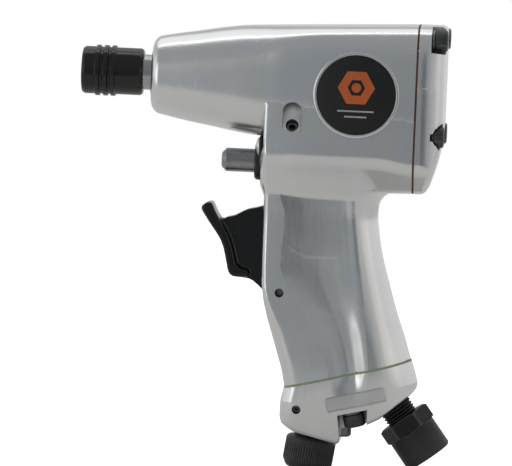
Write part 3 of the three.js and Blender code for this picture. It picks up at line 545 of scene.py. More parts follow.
# ------------------------------------------------------------------ turned and swept pieces
def basis(axis):
    a = np.asarray(axis, float)
    a = a / np.linalg.norm(a)
    ref = np.array([0.0, 1.0, 0.0]) if abs(a[1]) < 0.9 else np.array([1.0, 0.0, 0.0])
    u = np.cross(ref, a)
    u = u / np.linalg.norm(u)
    return u, np.cross(a, u), a


def link_mesh(name, verts, faces, angle=32):
    me = bpy.data.meshes.new(name)
    me.from_pydata([tuple(v) for v in verts], [], [tuple(f) for f in faces])
    me.validate()
    bm = bmesh.new()
    bm.from_mesh(me)
    bmesh.ops.remove_doubles(bm, verts=bm.verts, dist=1e-7)
    bmesh.ops.recalc_face_normals(bm, faces=bm.faces)
    lim = math.radians(angle)
    for f in bm.faces:
        f.smooth = True
    for e in bm.edges:
        e.smooth = len(e.link_faces) == 2 and e.calc_face_angle(0) < lim
    bm.to_mesh(me)
    bm.free()
    o = bpy.data.objects.new(name, me)
    bpy.context.scene.collection.objects.link(o)
    return o


def rounded(pts, steps=4):
    """Profile points (s, r, fillet radius) to a polyline with rounded corners. Open profile."""
    out = []
    n = len(pts)
    for i, p in enumerate(pts):
        s, r = p[0], p[1]
        f = p[2] if len(p) > 2 else 0
        if f <= 0 or i in (0, n - 1):
            out.append((s, r))
            continue
        a = np.array(pts[i - 1][:2], float)
        c = np.array(pts[i + 1][:2], float)
        b = np.array([s, r], float)
        da, dc = a - b, c - b
        la, lc = np.linalg.norm(da), np.linalg.norm(dc)
        da, dc = da / la, dc / lc
        half = math.acos(max(-1, min(1, float(da @ dc)))) / 2
        t = min(f / math.tan(half), 0.49 * la, 0.49 * lc)
        p0, p1 = b + da * t, b + dc * t
        for k in range(steps + 1):
            w = k / steps
            out.append(tuple((1 - w) ** 2 * p0 + 2 * w * (1 - w) * b + w * w * p1))
    return out


def revolve(name, rings, origin, axis, seg=96, caps=True, angle=32):
    """rings: list of (s, radius) where radius is a number or a function of the angle in radians.
    A radius of 0 closes the end; otherwise the ends are joined to each other."""
    u, v, a = basis(axis)
    o = np.asarray(origin, float)
    ph = np.arange(seg) * 2 * math.pi / seg
    verts, faces, idx = [], [], []
    for s, r in rings:
        if not callable(r) and r <= 1e-9:
            idx.append([len(verts)] * seg)
            verts.append(o + a * s)
            continue
        rr = r(ph) if callable(r) else np.full(seg, float(r))
        k = len(verts)
        for i in range(seg):
            verts.append(o + a * s + (u * math.cos(ph[i]) + v * math.sin(ph[i])) * rr[i])
        idx.append(list(range(k, k + seg)))
    m = len(rings)
    open_ends = not (idx[0][0] == idx[0][-1] and idx[-1][0] == idx[-1][-1])
    for i in range(m if open_ends else m - 1):
        A, B = idx[i], idx[(i + 1) % m]
        for j in range(seg):
            k = (j + 1) % seg
            f = [A[j], A[k], B[k], B[j]]
            g = []
            for q in f:
                if q not in g:
                    g.append(q)
            if len(g) > 2:
                faces.append(g)
    return link_mesh(name, [row(p) for p in verts], faces, angle)


def hex_r(af, phase=0.0):
    def f(ph):
        t = np.mod(ph + phase + math.pi / 6, math.pi / 3) - math.pi / 6
        return (af / 2) / np.cos(t)
    return f


def prism(name, outline, origin, ex, ey, ez, depth, bevel=0.0, angle=32):
    """Outline in the ex-ey plane, pushed along ez, with a small bevel on both rims."""
    o = np.asarray(origin, float)
    ex, ey, ez = (np.asarray(q, float) for q in (ex, ey, ez))
    out = np.asarray(outline, float)
    n = len(out)
    d = np.roll(out, -1, 0) - np.roll(out, 1, 0)
    nrm = np.stack([d[:, 1], -d[:, 0]], 1)
    nrm /= np.maximum(np.linalg.norm(nrm, axis=1, keepdims=True), 1e-9)
    area = 0.5 * np.sum(out[:, 0] * np.roll(out[:, 1], -1) - np.roll(out[:, 0], -1) * out[:, 1])
    nrm *= 1 if area > 0 else -1
    layers = [(0, bevel), (bevel * 0.3, bevel * 0.3), (bevel, 0), (depth - bevel, 0), (depth - bevel * 0.3, bevel * 0.3), (depth, bevel)] if bevel > 0 else [(0, 0), (depth, 0)]
    verts, faces = [], []
    for z, inset in layers:
        for q, m_ in zip(out, nrm):
            w = q - m_ * inset
            verts.append(row(o + ex * w[0] + ey * w[1] + ez * z))
    for i in range(len(layers) - 1):
        for j in range(n):
            k = (j + 1) % n
            faces.append([i * n + j, i * n + k, (i + 1) * n + k, (i + 1) * n + j])
    faces.append(list(range(n - 1, -1, -1)))
    faces.append([(len(layers) - 1) * n + j for j in range(n)])
    return link_mesh(name, verts, faces, angle)


def local_field(name, f, lo, hi, h, origin, axis):
    """Distance field given in a local frame whose z is the axis, meshed and placed."""
    u, v, a = basis(axis)
    R = np.stack([u, v, a], 1)
    o = np.asarray(origin, float)
    vv, q = contour(f, lo, hi, h)
    q = q[(q[:, 0] != q[:, 2]) & (q[:, 1] != q[:, 3])]
    me = bpy.data.meshes.new(name)
    me.from_pydata(row(vv @ R.T + o).tolist(), [], q.tolist())
    me.validate()
    loops = np.empty(len(me.loops), np.int32)
    me.loops.foreach_get("vertex_index", loops)
    totals = np.empty(len(me.polygons), np.int32)
    me.polygons.foreach_get("loop_total", totals)
    face_of = np.repeat(np.arange(len(totals)), totals)
    mid = np.stack([np.bincount(face_of, vv[loops][:, k], len(totals)) / totals for k in range(3)], 1)
    g = gradient(f, 0.72 * vv[loops] + 0.28 * mid[face_of], 0.03) @ R.T
    me.polygons.foreach_set("use_smooth", np.ones(len(me.polygons), bool))
    me.normals_split_custom_set(g.tolist())
    ob = bpy.data.objects.new(name, me)
    bpy.context.scene.collection.objects.link(ob)
    return ob


# ------------------------------------------------------------------ materials
class Nodes:
    def __init__(self, name):
        self.m = bpy.data.materials.new(name)
        self.m.use_nodes = True
        self.t = self.m.node_tree
        self.bsdf = self.t.nodes["Principled BSDF"]
        tc = self.t.nodes.new("ShaderNodeTexCoord")
        self.coord = tc.outputs["Object"]

    def link(self, a, b):
        self.t.links.new(a, b)

    def mapping(self, scale=(1, 1, 1), rot=(0, 0, 0)):
        n = self.t.nodes.new("ShaderNodeMapping")
        n.inputs["Scale"].default_value = scale
        n.inputs["Rotation"].default_value = rot
        self.link(self.coord, n.inputs["Vector"])
        return n.outputs["Vector"]

    def noise(self, scale, detail=4, rough=0.5, vec=None, dist=0.0):
        n = self.t.nodes.new("ShaderNodeTexNoise")
        n.inputs["Scale"].default_value = scale
        n.inputs["Detail"].default_value = detail
        n.inputs["Roughness"].default_value = rough
        n.inputs["Distortion"].default_value = dist
        self.link(vec if vec is not None else self.coord, n.inputs["Vector"])
        return n.outputs["Fac"]

    def ramp(self, fac, stops):
        n = self.t.nodes.new("ShaderNodeValToRGB")
        e = n.color_ramp.elements
        while len(e) < len(stops):
            e.new(0.5)
        for el, (p, c) in zip(e, stops):
            el.position = p
            el.color = (*c, 1) if isinstance(c, (tuple, list)) else (c, c, c, 1)
        self.link(fac, n.inputs["Fac"])
        return n.outputs["Color"]

    def range(self, fac, a, b, lo=0.0, hi=1.0):
        n = self.t.nodes.new("ShaderNodeMapRange")
        for k, v in zip(("From Min", "From Max", "To Min", "To Max"), (lo, hi, a, b)):
            n.inputs[k].default_value = v
        self.link(fac, n.inputs["Value"])
        return n.outputs["Result"]

    def math(self, op, a, b=None, c=None):
        n = self.t.nodes.new("ShaderNodeMath")
        n.operation = op
        for k, v in enumerate((a, b, c)):
            if v is None:
                continue
            if isinstance(v, (int, float)):
                n.inputs[k].default_value = v
            else:
                self.link(v, n.inputs[k])
        return n.outputs[0]

    def mix(self, fac, a, b, mode="MIX"):
        n = self.t.nodes.new("ShaderNodeMix")
        n.data_type = "RGBA"
        n.blend_type = mode
        for sock, v in ((n.inputs["Factor"], fac), (n.inputs["A"] if False else n.inputs[6], a), (n.inputs[7], b)):
            if isinstance(v, (int, float)):
                sock.default_value = v if sock.type == "VALUE" else (v, v, v, 1)
            elif isinstance(v, tuple):
                sock.default_value = (*v, 1)
            else:
                self.link(v, sock)
        return n.outputs[2]

    def bump(self, height, strength, dist, normal=None):
        n = self.t.nodes.new("ShaderNodeBump")
        n.inputs["Strength"].default_value = strength
        n.inputs["Distance"].default_value = dist
        self.link(height, n.inputs["Height"])
        if normal is not None:
            self.link(normal, n.inputs["Normal"])
        return n.outputs["Normal"]

    def edge(self):
        """0 on flats, rising to 1 on convex edges, from the mesh's own pointiness."""
        g = self.t.nodes.new("ShaderNodeNewGeometry")
        return self.range(g.outputs["Pointiness"], 0, 1, 0.505, 0.56)

    def set(self, **kw):
        for k, v in kw.items():
            s = self.bsdf.inputs[k.replace("_", " ")]
            if isinstance(v, (int, float)):
                s.default_value = v
            elif isinstance(v, tuple):
                s.default_value = (*v, 1)
            else:
                self.link(v, s)
        return self


def mat_aluminium(name="cast_aluminium", rough=0.20, base=1.0, grit=0.018):
    m = Nodes(name)
    grain = m.noise(1.0, 5, 0.62, m.mapping((1500, 1500, 130)))
    fine = m.noise(1.0, 3, 0.6, m.mapping((4200, 4200, 700)))
    cloud = m.noise(38, 4, 0.55)
    tint = m.ramp(cloud, [(0.3, tuple(base * c for c in (0.735, 0.748, 0.76))), (0.7, tuple(base * c for c in (0.785, 0.785, 0.78)))])
    tint = m.mix(m.range(grain, 0.0, 0.10, 0.35, 0.75), tint, tuple(base * c for c in (0.68, 0.69, 0.705)))
    # painted shade: ambient occlusion darkens the base colour in the recesses towards dark grey, and the metal there is
    # rougher and unpolished
    ao = m.t.nodes.new("ShaderNodeAmbientOcclusion")
    ao.samples = 8
    ao.inputs["Distance"].default_value = 0.0035
    painted_shade_and_rough = m.range(ao.outputs["AO"], 1.0, 0.0, 0.35, 0.90)
    # the painted shade in the recesses, mixed into the colour
    tint = m.mix(m.math("MULTIPLY", painted_shade_and_rough, 0.72), tint, (0.20, 0.19, 0.185))
    r = m.math("ADD", m.range(grain, rough, rough + 0.06, 0.3, 0.7), m.range(cloud, -0.02, 0.03, 0.3, 0.7))
    r = m.math("ADD", r, m.math("MULTIPLY", painted_shade_and_rough, 0.25))
    n1 = m.bump(grain, grit, 0.00010)
    n2 = m.bump(fine, grit * 0.55, 0.00005, n1)
    m.set(Base_Color=tint, Metallic=1.0, Roughness=r, Normal=n2)
    return m.m


def mat_black(name, base, rough, bump=0.12, metal=0.6, wear=(0.20, 0.20, 0.205), scale=600, coat=0.0):
    m = Nodes(name)
    a = m.noise(scale, 4, 0.6)
    b = m.noise(scale * 0.06, 3, 0.5)
    col = m.mix(m.range(b, 0.0, 0.5, 0.35, 0.7), base, tuple(min(1, c * 1.7 + 0.004) for c in base))
    col = m.mix(m.math("MULTIPLY", m.edge(), 0.55), col, wear)
    r = m.math("ADD", m.range(a, rough - 0.05, rough + 0.07, 0.3, 0.7), m.range(b, -0.03, 0.05, 0.3, 0.7))
    m.set(Base_Color=col, Metallic=metal, Roughness=r, Normal=m.bump(a, bump, 0.00005), Coat_Weight=coat, Coat_Roughness=0.12)
    return m.m


def mat_steel(name, base, rough, rings=(1, 1, 1), metal=1.0):
    m = Nodes(name)
    a = m.noise(1.0, 4, 0.6, m.mapping(tuple(900 * q for q in rings)))
    b = m.noise(120, 3, 0.5)
    col = m.mix(m.range(b, 0.0, 0.6, 0.3, 0.75), base, tuple(c * 0.78 for c in base))
    col = m.mix(m.math("MULTIPLY", m.edge(), 0.3), col, tuple(min(1, c * 1.25) for c in base))
    r = m.range(a, rough - 0.05, rough + 0.09, 0.3, 0.7)
    m.set(Base_Color=col, Metallic=metal, Roughness=r, Normal=m.bump(a, 0.12, 0.00004))
    return m.m


def mat_fibre(name, a_, b_):
    m = Nodes(name)
    n = m.noise(1600, 4, 0.65)
    w = m.noise(300, 3, 0.6)
    col = m.mix(n, a_, b_)
    col = m.mix(m.range(w, 0, 0.35, 0.45, 0.7), col, tuple(c * 0.55 for c in a_))
    m.set(Base_Color=col, Roughness=m.range(n, 0.65, 0.9, 0.3, 0.7), Normal=m.bump(n, 0.4, 0.0001), Specular_IOR_Level=0.25)
    return m.m


def mat_paint(name, base, rough, coat=0.6):
    m = Nodes(name)
    peel = m.noise(420, 2, 0.4)
    dust = m.noise(60, 4, 0.6)
    col = m.mix(m.range(dust, 0, 0.35, 0.45, 0.75), base, tuple(min(1, c * 1.6 + 0.006) for c in base))
    m.set(Base_Color=col, Roughness=m.range(dust, rough - 0.05, rough + 0.08, 0.3, 0.7), Normal=m.bump(peel, 0.08, 0.0001), Coat_Weight=coat, Coat_Roughness=0.08)
    return m.m


M = {
    "alu": mat_aluminium(),
    "alu_cast": mat_aluminium("as_cast_aluminium", 0.42, 0.86, 0.10),
    "oxide": mat_black("black_oxide", (0.012, 0.012, 0.0125), 0.40, metal=0.5),
    "sleeve": mat_black("sleeve_black", (0.003, 0.003, 0.0032), 0.16, bump=0.05, metal=0.0, wear=(0.03, 0.03, 0.03)),
    "knob": mat_black("knob_black", (0.008, 0.008, 0.0082), 0.42, metal=0.2),
    "screw": mat_black("screw_black", (0.008, 0.008, 0.009), 0.32, metal=0.3),
    "washer": mat_steel("spring_washer", (0.22, 0.22, 0.23), 0.38),
    "steel": mat_steel("ground_steel", (0.47, 0.475, 0.485), 0.27, rings=(0.25, 1.6, 1.6)),
    "pin": mat_steel("reverse_pin_steel", (0.34, 0.345, 0.355), 0.30, rings=(2.2, 0.4, 0.4)),
    "tool": mat_steel("tool_steel", (0.26, 0.26, 0.27), 0.36),
    "zinc": mat_steel("zinc_plate", (0.72, 0.735, 0.755), 0.22),
    "brass": mat_steel("brass", (0.62, 0.44, 0.17), 0.30),
    "brown": mat_fibre("brown_gasket", (0.16, 0.085, 0.045), (0.075, 0.04, 0.025)),
    "green": mat_fibre("green_gasket", (0.40, 0.52, 0.27), (0.26, 0.36, 0.17)),
    "paint": mat_paint("black_gloss_paint", (0.0012, 0.0012, 0.0014), 0.17, coat=0.0),
    "label": mat_paint("label_film", (0.003, 0.003, 0.0033), 0.50, coat=0.0),
    "orange": mat_paint("label_orange", (0.58, 0.115, 0.022), 0.5, coat=0.1),
    "grey": mat_paint("label_grey", (0.42, 0.42, 0.43), 0.5, coat=0.1),
    "fibre": mat_fibre("vane_fibre", (0.24, 0.13, 0.06), (0.12, 0.06, 0.03)),
    "dark": mat_black("dark_bore", (0.010, 0.010, 0.010), 0.7, metal=0.0),
}


def dress(o, mat, body, slot, *nodes):
    o.data.materials.clear()
    o.data.materials.append(M[mat])
    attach(o, body)
    if nodes:
        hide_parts(*nodes)
    return o


# ------------------------------------------------------------------ castings
H_BODY = 0.84
H_SMALL = 0.55
housing = field_mesh("housing_casting", d_housing, (-43.03, -28.52, -124.97), (70.3, 28.6, 26.3), H_BODY)
dress(housing, "alu", "body", "cast_aluminium", "housing")
cover = field_mesh("rear_cover_casting", d_cover, (56.03, -28.52, -46.07), (78.1, 28.6, 26.3), H_SMALL)
dress(cover, "alu", "body", "cast_aluminium", "rear_cover")
cap = field_mesh("base_cap_casting", d_cap, (13.03, -21.52, -147.03), (73.1, 21.6, -107.0), H_SMALL)
dress(cap, "alu", "body", "cast_aluminium", "base_cap")


def radial_outline(f, centre, ex, ey, n=220, reach=60.0):
    """Outline of a distance field on a plane, seen from a centre inside it."""
    centre, ex, ey = (np.asarray(q, float) for q in (centre, ex, ey))
    ph = np.arange(n) * 2 * math.pi / n
    d = ex[None] * np.cos(ph)[:, None] + ey[None] * np.sin(ph)[:, None]
    lo, hi = np.zeros(n), np.full(n, reach)
    for _ in range(40):
        mid = 0.5 * (lo + hi)
        v = f(centre + d * mid[:, None])
        lo, hi = np.where(v < 0, mid, lo), np.where(v < 0, hi, mid)
    return np.stack([lo * np.cos(ph), lo * np.sin(ph)], 1)


def washer_plate(name, outline, hole, origin, ex, ey, ez, depth):
    """Flat ring between an outline and a round hole, pushed along ez."""
    n = len(outline)
    ph = np.arctan2(outline[:, 1], outline[:, 0])
    inner = np.stack([hole * np.cos(ph), hole * np.sin(ph)], 1)
    verts, faces = [], []
    for z in (0.0, depth):
        for ring in (outline, inner):
            for q in ring:
                verts.append(row(np.asarray(origin, float) + np.asarray(ex) * q[0] + np.asarray(ey) * q[1] + np.asarray(ez) * z))
    for j in range(n):
        k = (j + 1) % n
        faces += [[j, k, n + k, n + j], [2 * n + j, 3 * n + j, 3 * n + k, 2 * n + k],
                  [j, 2 * n + j, 2 * n + k, k], [n + j, n + k, 3 * n + k, 3 * n + j]]
    return link_mesh(name, verts, faces)


rear_out = radial_outline(lambda p: d_block(p, front=False), (BODY_REAR, 0, -8), (0, 1, 0), (0, 0, 1))
g1 = washer_plate("rear_gasket_sheet", rear_out * 0.998, 12.0, (64.74, 0, -8), (0, 1, 0), (0, 0, 1), (1, 0, 0), 0.72)
dress(g1, "brown", "body", "brown_gasket", "rear_gasket")
base_c = BASE_MID + BN * 0.0
base_out = radial_outline(d_grip, base_c, BU, (0, 1, 0))
wave = np.arange(len(base_out)) * 2 * math.pi / len(base_out)
base_out = base_out + base_out / np.linalg.norm(base_out, axis=1, keepdims=True) * (0.14 + 0.09 * np.sin(wave * 23 + 1) + 0.05 * np.sin(wave * 41))[:, None]
g2 = washer_plate("base_gasket_sheet", base_out, 3.0, base_c + BN * 0.05, BU, (0, 1, 0), BN, 0.7)
dress(g2, "green", "body", "green_gasket", "base_gasket")

# ------------------------------------------------------------------ label
lab_u, lab_v = np.array([math.cos(LEAN), -math.sin(LEAN), 0.0]), np.array([0.0, 0.0, 1.0])
disc = revolve("label_disc_film", [(-0.3, 0), (-0.3, 15.55), (0.05, 15.6), (0.22, 15.5), (0.3, 15.3), (0.3, 0)], LABEL_C, LABEL_N, seg=144)
dress(disc, "label", "body", "label", "label_disc")


bead = revolve("label_ring_bead", rounded([(-0.9, 15.7), (0.05, 15.7, 0.12), (0.24, 15.95, 0.15), (0.28, 16.3, 0.2), (0.16, 16.75, 0.3), (-0.02, 17.0, 0.2), (-0.9, 17.0)]), LABEL_C, LABEL_N, seg=180)
dress(bead, "alu", "body", "cast_aluminium")


def surface_pad(name, q0, hu, hv, half, rise, inset, floor_drop, nu=150, nv=44, sink=0.9, corner=0.8):
    """Raised pad that follows the casting's side, with a lower field inside a thin rim."""
    us, vs = np.linspace(-hu, hu, nu), np.linspace(-hv, hv, nv)
    U, V = np.meshgrid(us, vs, indexing="ij")
    # round the plan corners by pulling the grid in
    ex, ey = np.maximum(np.abs(U) - (hu - corner), 0), np.maximum(np.abs(V) - (hv - corner), 0)
    ln = np.maximum(np.hypot(ex, ey), 1e-9)
    k = np.maximum(ex, ey) / ln
    U2 = np.sign(U) * (np.minimum(np.abs(U), hu - corner) + ex * k)
    V2 = np.sign(V) * (np.minimum(np.abs(V), hv - corner) + ey * k)
    P = np.asarray(q0)[None, None] + U2[..., None] * BU + V2[..., None] * BN
    edge = np.minimum(hu - np.abs(U), hv - np.abs(V))
    h = rise * sstep(-0.05, 0.35, edge) - floor_drop * sstep(inset - 0.12, inset + 0.18, edge)
    Y = -(half(P[..., 0], P[..., 2]) + h)
    top = np.stack([P[..., 0], Y, P[..., 2]], -1)
    bot = top.copy()
    bot[..., 1] = -(half(P[..., 0], P[..., 2]) - sink)
    verts = [row(q) for q in top.reshape(-1, 3)] + [row(q) for q in bot.reshape(-1, 3)]
    N, faces = nu * nv, []
    for i in range(nu - 1):
        for j in range(nv - 1):
            a_, b_, c_, d_ = i * nv + j, (i + 1) * nv + j, (i + 1) * nv + j + 1, i * nv + j + 1
            faces.append([a_, b_, c_, d_])
            faces.append([N + d_, N + c_, N + b_, N + a_])
    rim = [i * nv for i in range(nu)] + [(nu - 1) * nv + j for j in range(1, nv)] + [i * nv + nv - 1 for i in range(nu - 2, -1, -1)] + [j for j in range(nv - 2, 0, -1)]
    for a_, b_ in zip(rim, rim[1:] + rim[:1]):
        faces.append([a_, N + a_, N + b_, b_])
    return link_mesh(name, verts, faces, 50)


pad = surface_pad("base_pad_cast", np.array([46.3, 0.0, -125.9]), 12.1, 2.9, cap_half, 0.5, 0.55, 0.22)
dress(pad, "alu_cast", "body", "cast_aluminium")


def flat_mark(name, outline, mat, lift=0.305):
    o = prism(name, outline, LABEL_C + LABEL_N * lift, lab_u, lab_v, LABEL_N, 0.03)
    return dress(o, mat, "body", "label")


def hexa(r, rot=0.0, cx=0.0, cy=0.0):
    return [(cx + r * math.cos(rot + k * math.pi / 3), cy + r * math.sin(rot + k * math.pi / 3)) for k in range(6)]


def ring_mark(name, r0, r1, mat, cx=0.0, cy=0.0, sides=6, rot=0.0):
    verts, faces = [], []
    for z in (0.0, 0.03):
        for r in (r0, r1):
            for k in range(sides):
                a = rot + k * 2 * math.pi / sides
                verts.append(row(LABEL_C + LABEL_N * (0.305 + z) + lab_u * (cx + r * math.cos(a)) + lab_v * (cy + r * math.sin(a))))
    n = sides
    for j in range(n):
        k = (j + 1) % n
        faces += [[j, k, n + k, n + j], [2 * n + j, 3 * n + j, 3 * n + k, 2 * n + k],
                  [j, 2 * n + j, 2 * n + k, k], [n + j, n + k, 3 * n + k, 3 * n + j]]
    return dress(link_mesh(name, verts, faces), mat, "body", "label")


# a generic device: an orange nut shape with a round centre, and plain rules under it
ring_mark("label_nut", 3.5, 7.4, "orange", 0.0, 2.9, 6, 0.0)
flat_mark("label_dot", [(1.9 * math.cos(k * math.pi / 16), 2.9 + 1.9 * math.sin(k * math.pi / 16)) for k in range(32)], "orange")
for k, (w_, y_) in enumerate([(7.2, -6.4), (4.4, -8.6)]):
    flat_mark(f"label_rule_{k + 1}", [(-w_, y_ - 0.32), (w_, y_ - 0.32), (w_, y_ + 0.32), (-w_, y_ + 0.32)], "grey")


# ------------------------------------------------------------------ chuck
def rib(x, r0=9.45, r1=10.15, h=1.12):
    return [(x - h, r0, 0.25), (x - h + 0.30, r1, 0.35), (x + h - 0.30, r1, 0.35), (x + h, r0, 0.25)]


sleeve_prof = rounded([(-69.45, 8.3), (-69.5, 8.5, 0.1), (-69.3, 8.95, 0.25), (-68.3, 9.5, 0.9), (-65.0, 9.5, 0.2)]
                      + rib(-63.2) + rib(-60.0) + rib(-57.0)
                      + [(-55.0, 9.4, 0.2), (-46.2, 9.4, 0.5), (-45.35, 8.9, 0.5), (-45.0, 8.2, 0.2), (-45.0, 6.5, 0.1),
                         (-52.3, 6.5), (-52.3, 7.64), (-53.6, 7.64), (-57.6, 6.5), (-60.0, 6.5), (-60.0, 8.3)], 4)
sleeve = revolve("chuck_sleeve_turned", sleeve_prof, (0, 0, 0), (1, 0, 0), seg=144)
dress(sleeve, "sleeve", "sleeve", "black_oxide", "chuck_sleeve")


def d_anvil(p):
    y, z, s = p[:, 0], p[:, 1], p[:, 2]
    r = np.hypot(y, z)
    d = np.where(s < -44.8, r - 6.2, r - 7.05)
    d = np.where(s > -21.6, r - 6.3, d)
    ang = np.mod(np.arctan2(z, y) + math.pi / 6, math.pi / 3) - math.pi / 6
    d = r_and(d, -69.0 - s, 0.5)
    d = np.maximum(d, s - 8.3)
    d = cut(d, np.maximum(np.abs(s + 67.8) - 0.6, 5.7 - r), 0.05)
    jaw = np.maximum(np.maximum(r - 7.8, np.abs(s + 4.5) - 12.6), np.maximum(np.abs(y) - 3.2, 2.0 - np.abs(z)))
    d = np.minimum(d, jaw)
    sock = np.maximum(r * np.cos(ang) - 3.25, s + 47.0)
    sock = np.minimum(sock, np.maximum(r - 4.0 + (s + 69.0), s + 68.2))
    d = cut(d, sock)
    # cross hole for the retaining ball
    return cut(d, np.maximum(np.hypot(s + 58.0, z) - 1.9, y + 1.0))


anvil = local_field("anvil_turned", d_anvil, (-8.3, -8.3, -69.6), (8.4, 8.4, 8.9), 0.42, (0, 0, 0), (1, 0, 0))
dress(anvil, "steel", "anvil", "ground_steel", "anvil")

# ------------------------------------------------------------------ reverse valve
spool = revolve("reverse_spool_ground", rounded([(-12.2, 0), (-12.2, 2.9, 0.3), (-10.4, 4.7, 0.4), (8.1, 4.7), (8.9, 3.8, 0.2), (10.3, 3.8, 0.2), (11.1, 4.7), (15.1, 4.7), (15.9, 3.8, 0.2),
                                                 (17.3, 3.8, 0.2), (18.1, 4.7), (20, 4.7), (20, 6.2), (25, 6.2), (25, 3.2), (32, 3.2), (32, 6.2), (40, 6.2), (40, 3.2), (46, 3.2),
                                                 (46, 6.2), (51, 6.2), (51, 0)]), (0, 0, REVERSE_Z), (1, 0, 0), seg=96)
dress(spool, "pin", "reverse_valve", "ground_steel", "reverse_spool")
rbush = revolve("reverse_bushing_turned", rounded([(1.1, 5.0), (1.1, 6.9, 0.3), (1.7, 7.5, 0.4), (3.2, 7.7, 0.2), (3.2, 6.2), (13.2, 6.2), (13.2, 5.0)]),
                (0, 0, REVERSE_Z), (1, 0, 0), seg=96)
dress(rbush, "oxide", "body", "black_oxide", "reverse_bushing")


def d_plate(p):
    x, y, z = p[:, 0], p[:, 1], p[:, 2]
    main = np.hypot(y, z + 34.1) - 10.1
    ear = np.hypot(y + 10.0, z + 27.2) - 4.3
    d = r_or(main, ear, 4.0)
    d = r_and(d, np.maximum(3.3 + np.clip(-31 - z, 0, 20) * 0.05 - x, x - 5.3), 0.3)
    d = cut(d, np.hypot(y, z - REVERSE_Z) - 6.5, 0.1)
    return cut(d, np.hypot(y + 10.0, z + 27.2) - 2.2, 0.1)


rplate = field_mesh("retainer_plate_pressed", d_plate, (2.0, -15.0, -45.2), (6.3, 11.2, -22.8), 0.28)
dress(rplate, "oxide", "body", "black_oxide", "reverse_retainer_plate")


def d_pan(p):
    a, b, s = p[:, 0], p[:, 1], p[:, 2]
    r = np.hypot(a, b)
    d = r_and(np.hypot(r, s + 3.3) - 5.9, r - 3.7, 0.4)      # domed head
    d = np.maximum(d, -1.6 - s)
    head = np.maximum(d, s - 3.0)
    head = r_and(np.maximum(r - 3.7, -s), np.sqrt(r * r + (s + 4.4) ** 2) - 6.0, 0.35)
    cross = np.minimum(np.maximum(np.abs(a) - 0.42, np.abs(b) - 2.0), np.maximum(np.abs(b) - 0.42, np.abs(a) - 2.0))
    cross = np.maximum(cross, 0.55 + 0.32 * r - s)
    head = cut(head, cross, 0.08)
    shank = np.maximum(r - 1.9, np.maximum(s - 0.5, -9.4 - s))
    return np.minimum(head, shank)


pan = local_field("retainer_screw_pan", d_pan, (-4.2, -4.2, -9.9), (4.25, 4.25, 2.3), 0.2, (3.25, -10.0, -27.2), (-1, 0, 0))
dress(pan, "zinc", "body", "zinc_screw", "retainer_screw")


# ------------------------------------------------------------------ socket cap screws and split washers
def cap_screw(name, seat, axis, shank, node, body="body"):
    hx = hex_r(4.0)
    # fine knurl round the head, as rolled on real cap screws
    kn = lambda ph: 4.22 + 0.055 * np.cos(ph * 48)
    rings = [(-shank, 0), (-shank, 1.9), (-shank + 0.8, 2.4), (0.0, 2.4), (0.0, 3.9), (0.15, 4.12), (0.35, kn), (4.1, kn), (4.4, 4.15), (4.72, 3.95), (4.92, 3.65), (5.0, 3.3),
             (5.0, lambda ph: hx(ph) + 0.22), (4.85, hx), (2.5, hx), (2.0, 0)]
    o = revolve(name, rings, seat, axis, seg=192)
    return dress(o, "screw", body, "black_screw", node)


def split_washer(name, seat, axis, node, phase=0.6, rin=2.7, rout=4.2, z0=-1.15, thick=0.92):
    u, v, a = basis(axis)
    n = 72
    sect = [(rin + 0.1, 0.0), (rin, 0.1), (rin, thick - 0.1), (rin + 0.1, thick), (rout - 0.12, thick), (rout, thick - 0.12), (rout, 0.12), (rout - 0.12, 0.0)]
    verts, faces = [], []
    for i in range(n + 1):
        t = i / n
        ph = phase + 0.06 + t * (2 * math.pi - 0.12)
        lift = (t - 0.5) * 0.10
        for r, z in sect:
            verts.append(row(np.asarray(seat) + a * (z0 + 0.05 + z * 0.92 + lift * 0.5) + (u * math.cos(ph) + v * math.sin(ph)) * r))
    m = len(sect)
    for i in range(n):
        for j in range(m):
            k = (j + 1) % m
            faces.append([i * m + j, i * m + k, (i + 1) * m + k, (i + 1) * m + j])
    faces.append(list(range(m)))
    faces.append([n * m + j for j in range(m - 1, -1, -1)])
    o = link_mesh(name, verts, faces)
    return dress(o, "washer", "body", "spring_washer", node)


for k, (yy, zz) in enumerate(REAR_SPOTS):
    seat = np.array([71.7, yy, zz])
    cap_screw(f"rear_cap_screw_{k + 1}", seat, (1, 0, 0), 20, f"rear_screw_{k + 1}")
    split_washer(f"rear_split_washer_{k + 1}", seat, (1, 0, 0), f"rear_washer_{k + 1}", 0.6 + k)
for k, yy in enumerate((-BASE_Y, BASE_Y)):
    seat = along(base_screw_mid(yy), BN, -2.5)
    cap_screw(f"base_cap_screw_{k + 1}", seat, BN, 30, f"base_screw_{k + 1}")
    split_washer(f"base_split_washer_{k + 1}", seat, BN, f"base_washer_{k + 1}", 1.1 + k)

ss = revolve("detent_set_screw_socket", [(13.2, 0), (13.2, 2.3), (3.5, 2.3), (3.2, 2.0), (3.2, lambda ph: hex_r(2.5)(ph) + 0.12), (3.35, hex_r(2.5)), (5.8, hex_r(2.5)), (6.2, 0)], DT_TOP, DT_DIR, seg=72)
dress(ss, "screw", "body", "black_screw", "detent_set_screw")

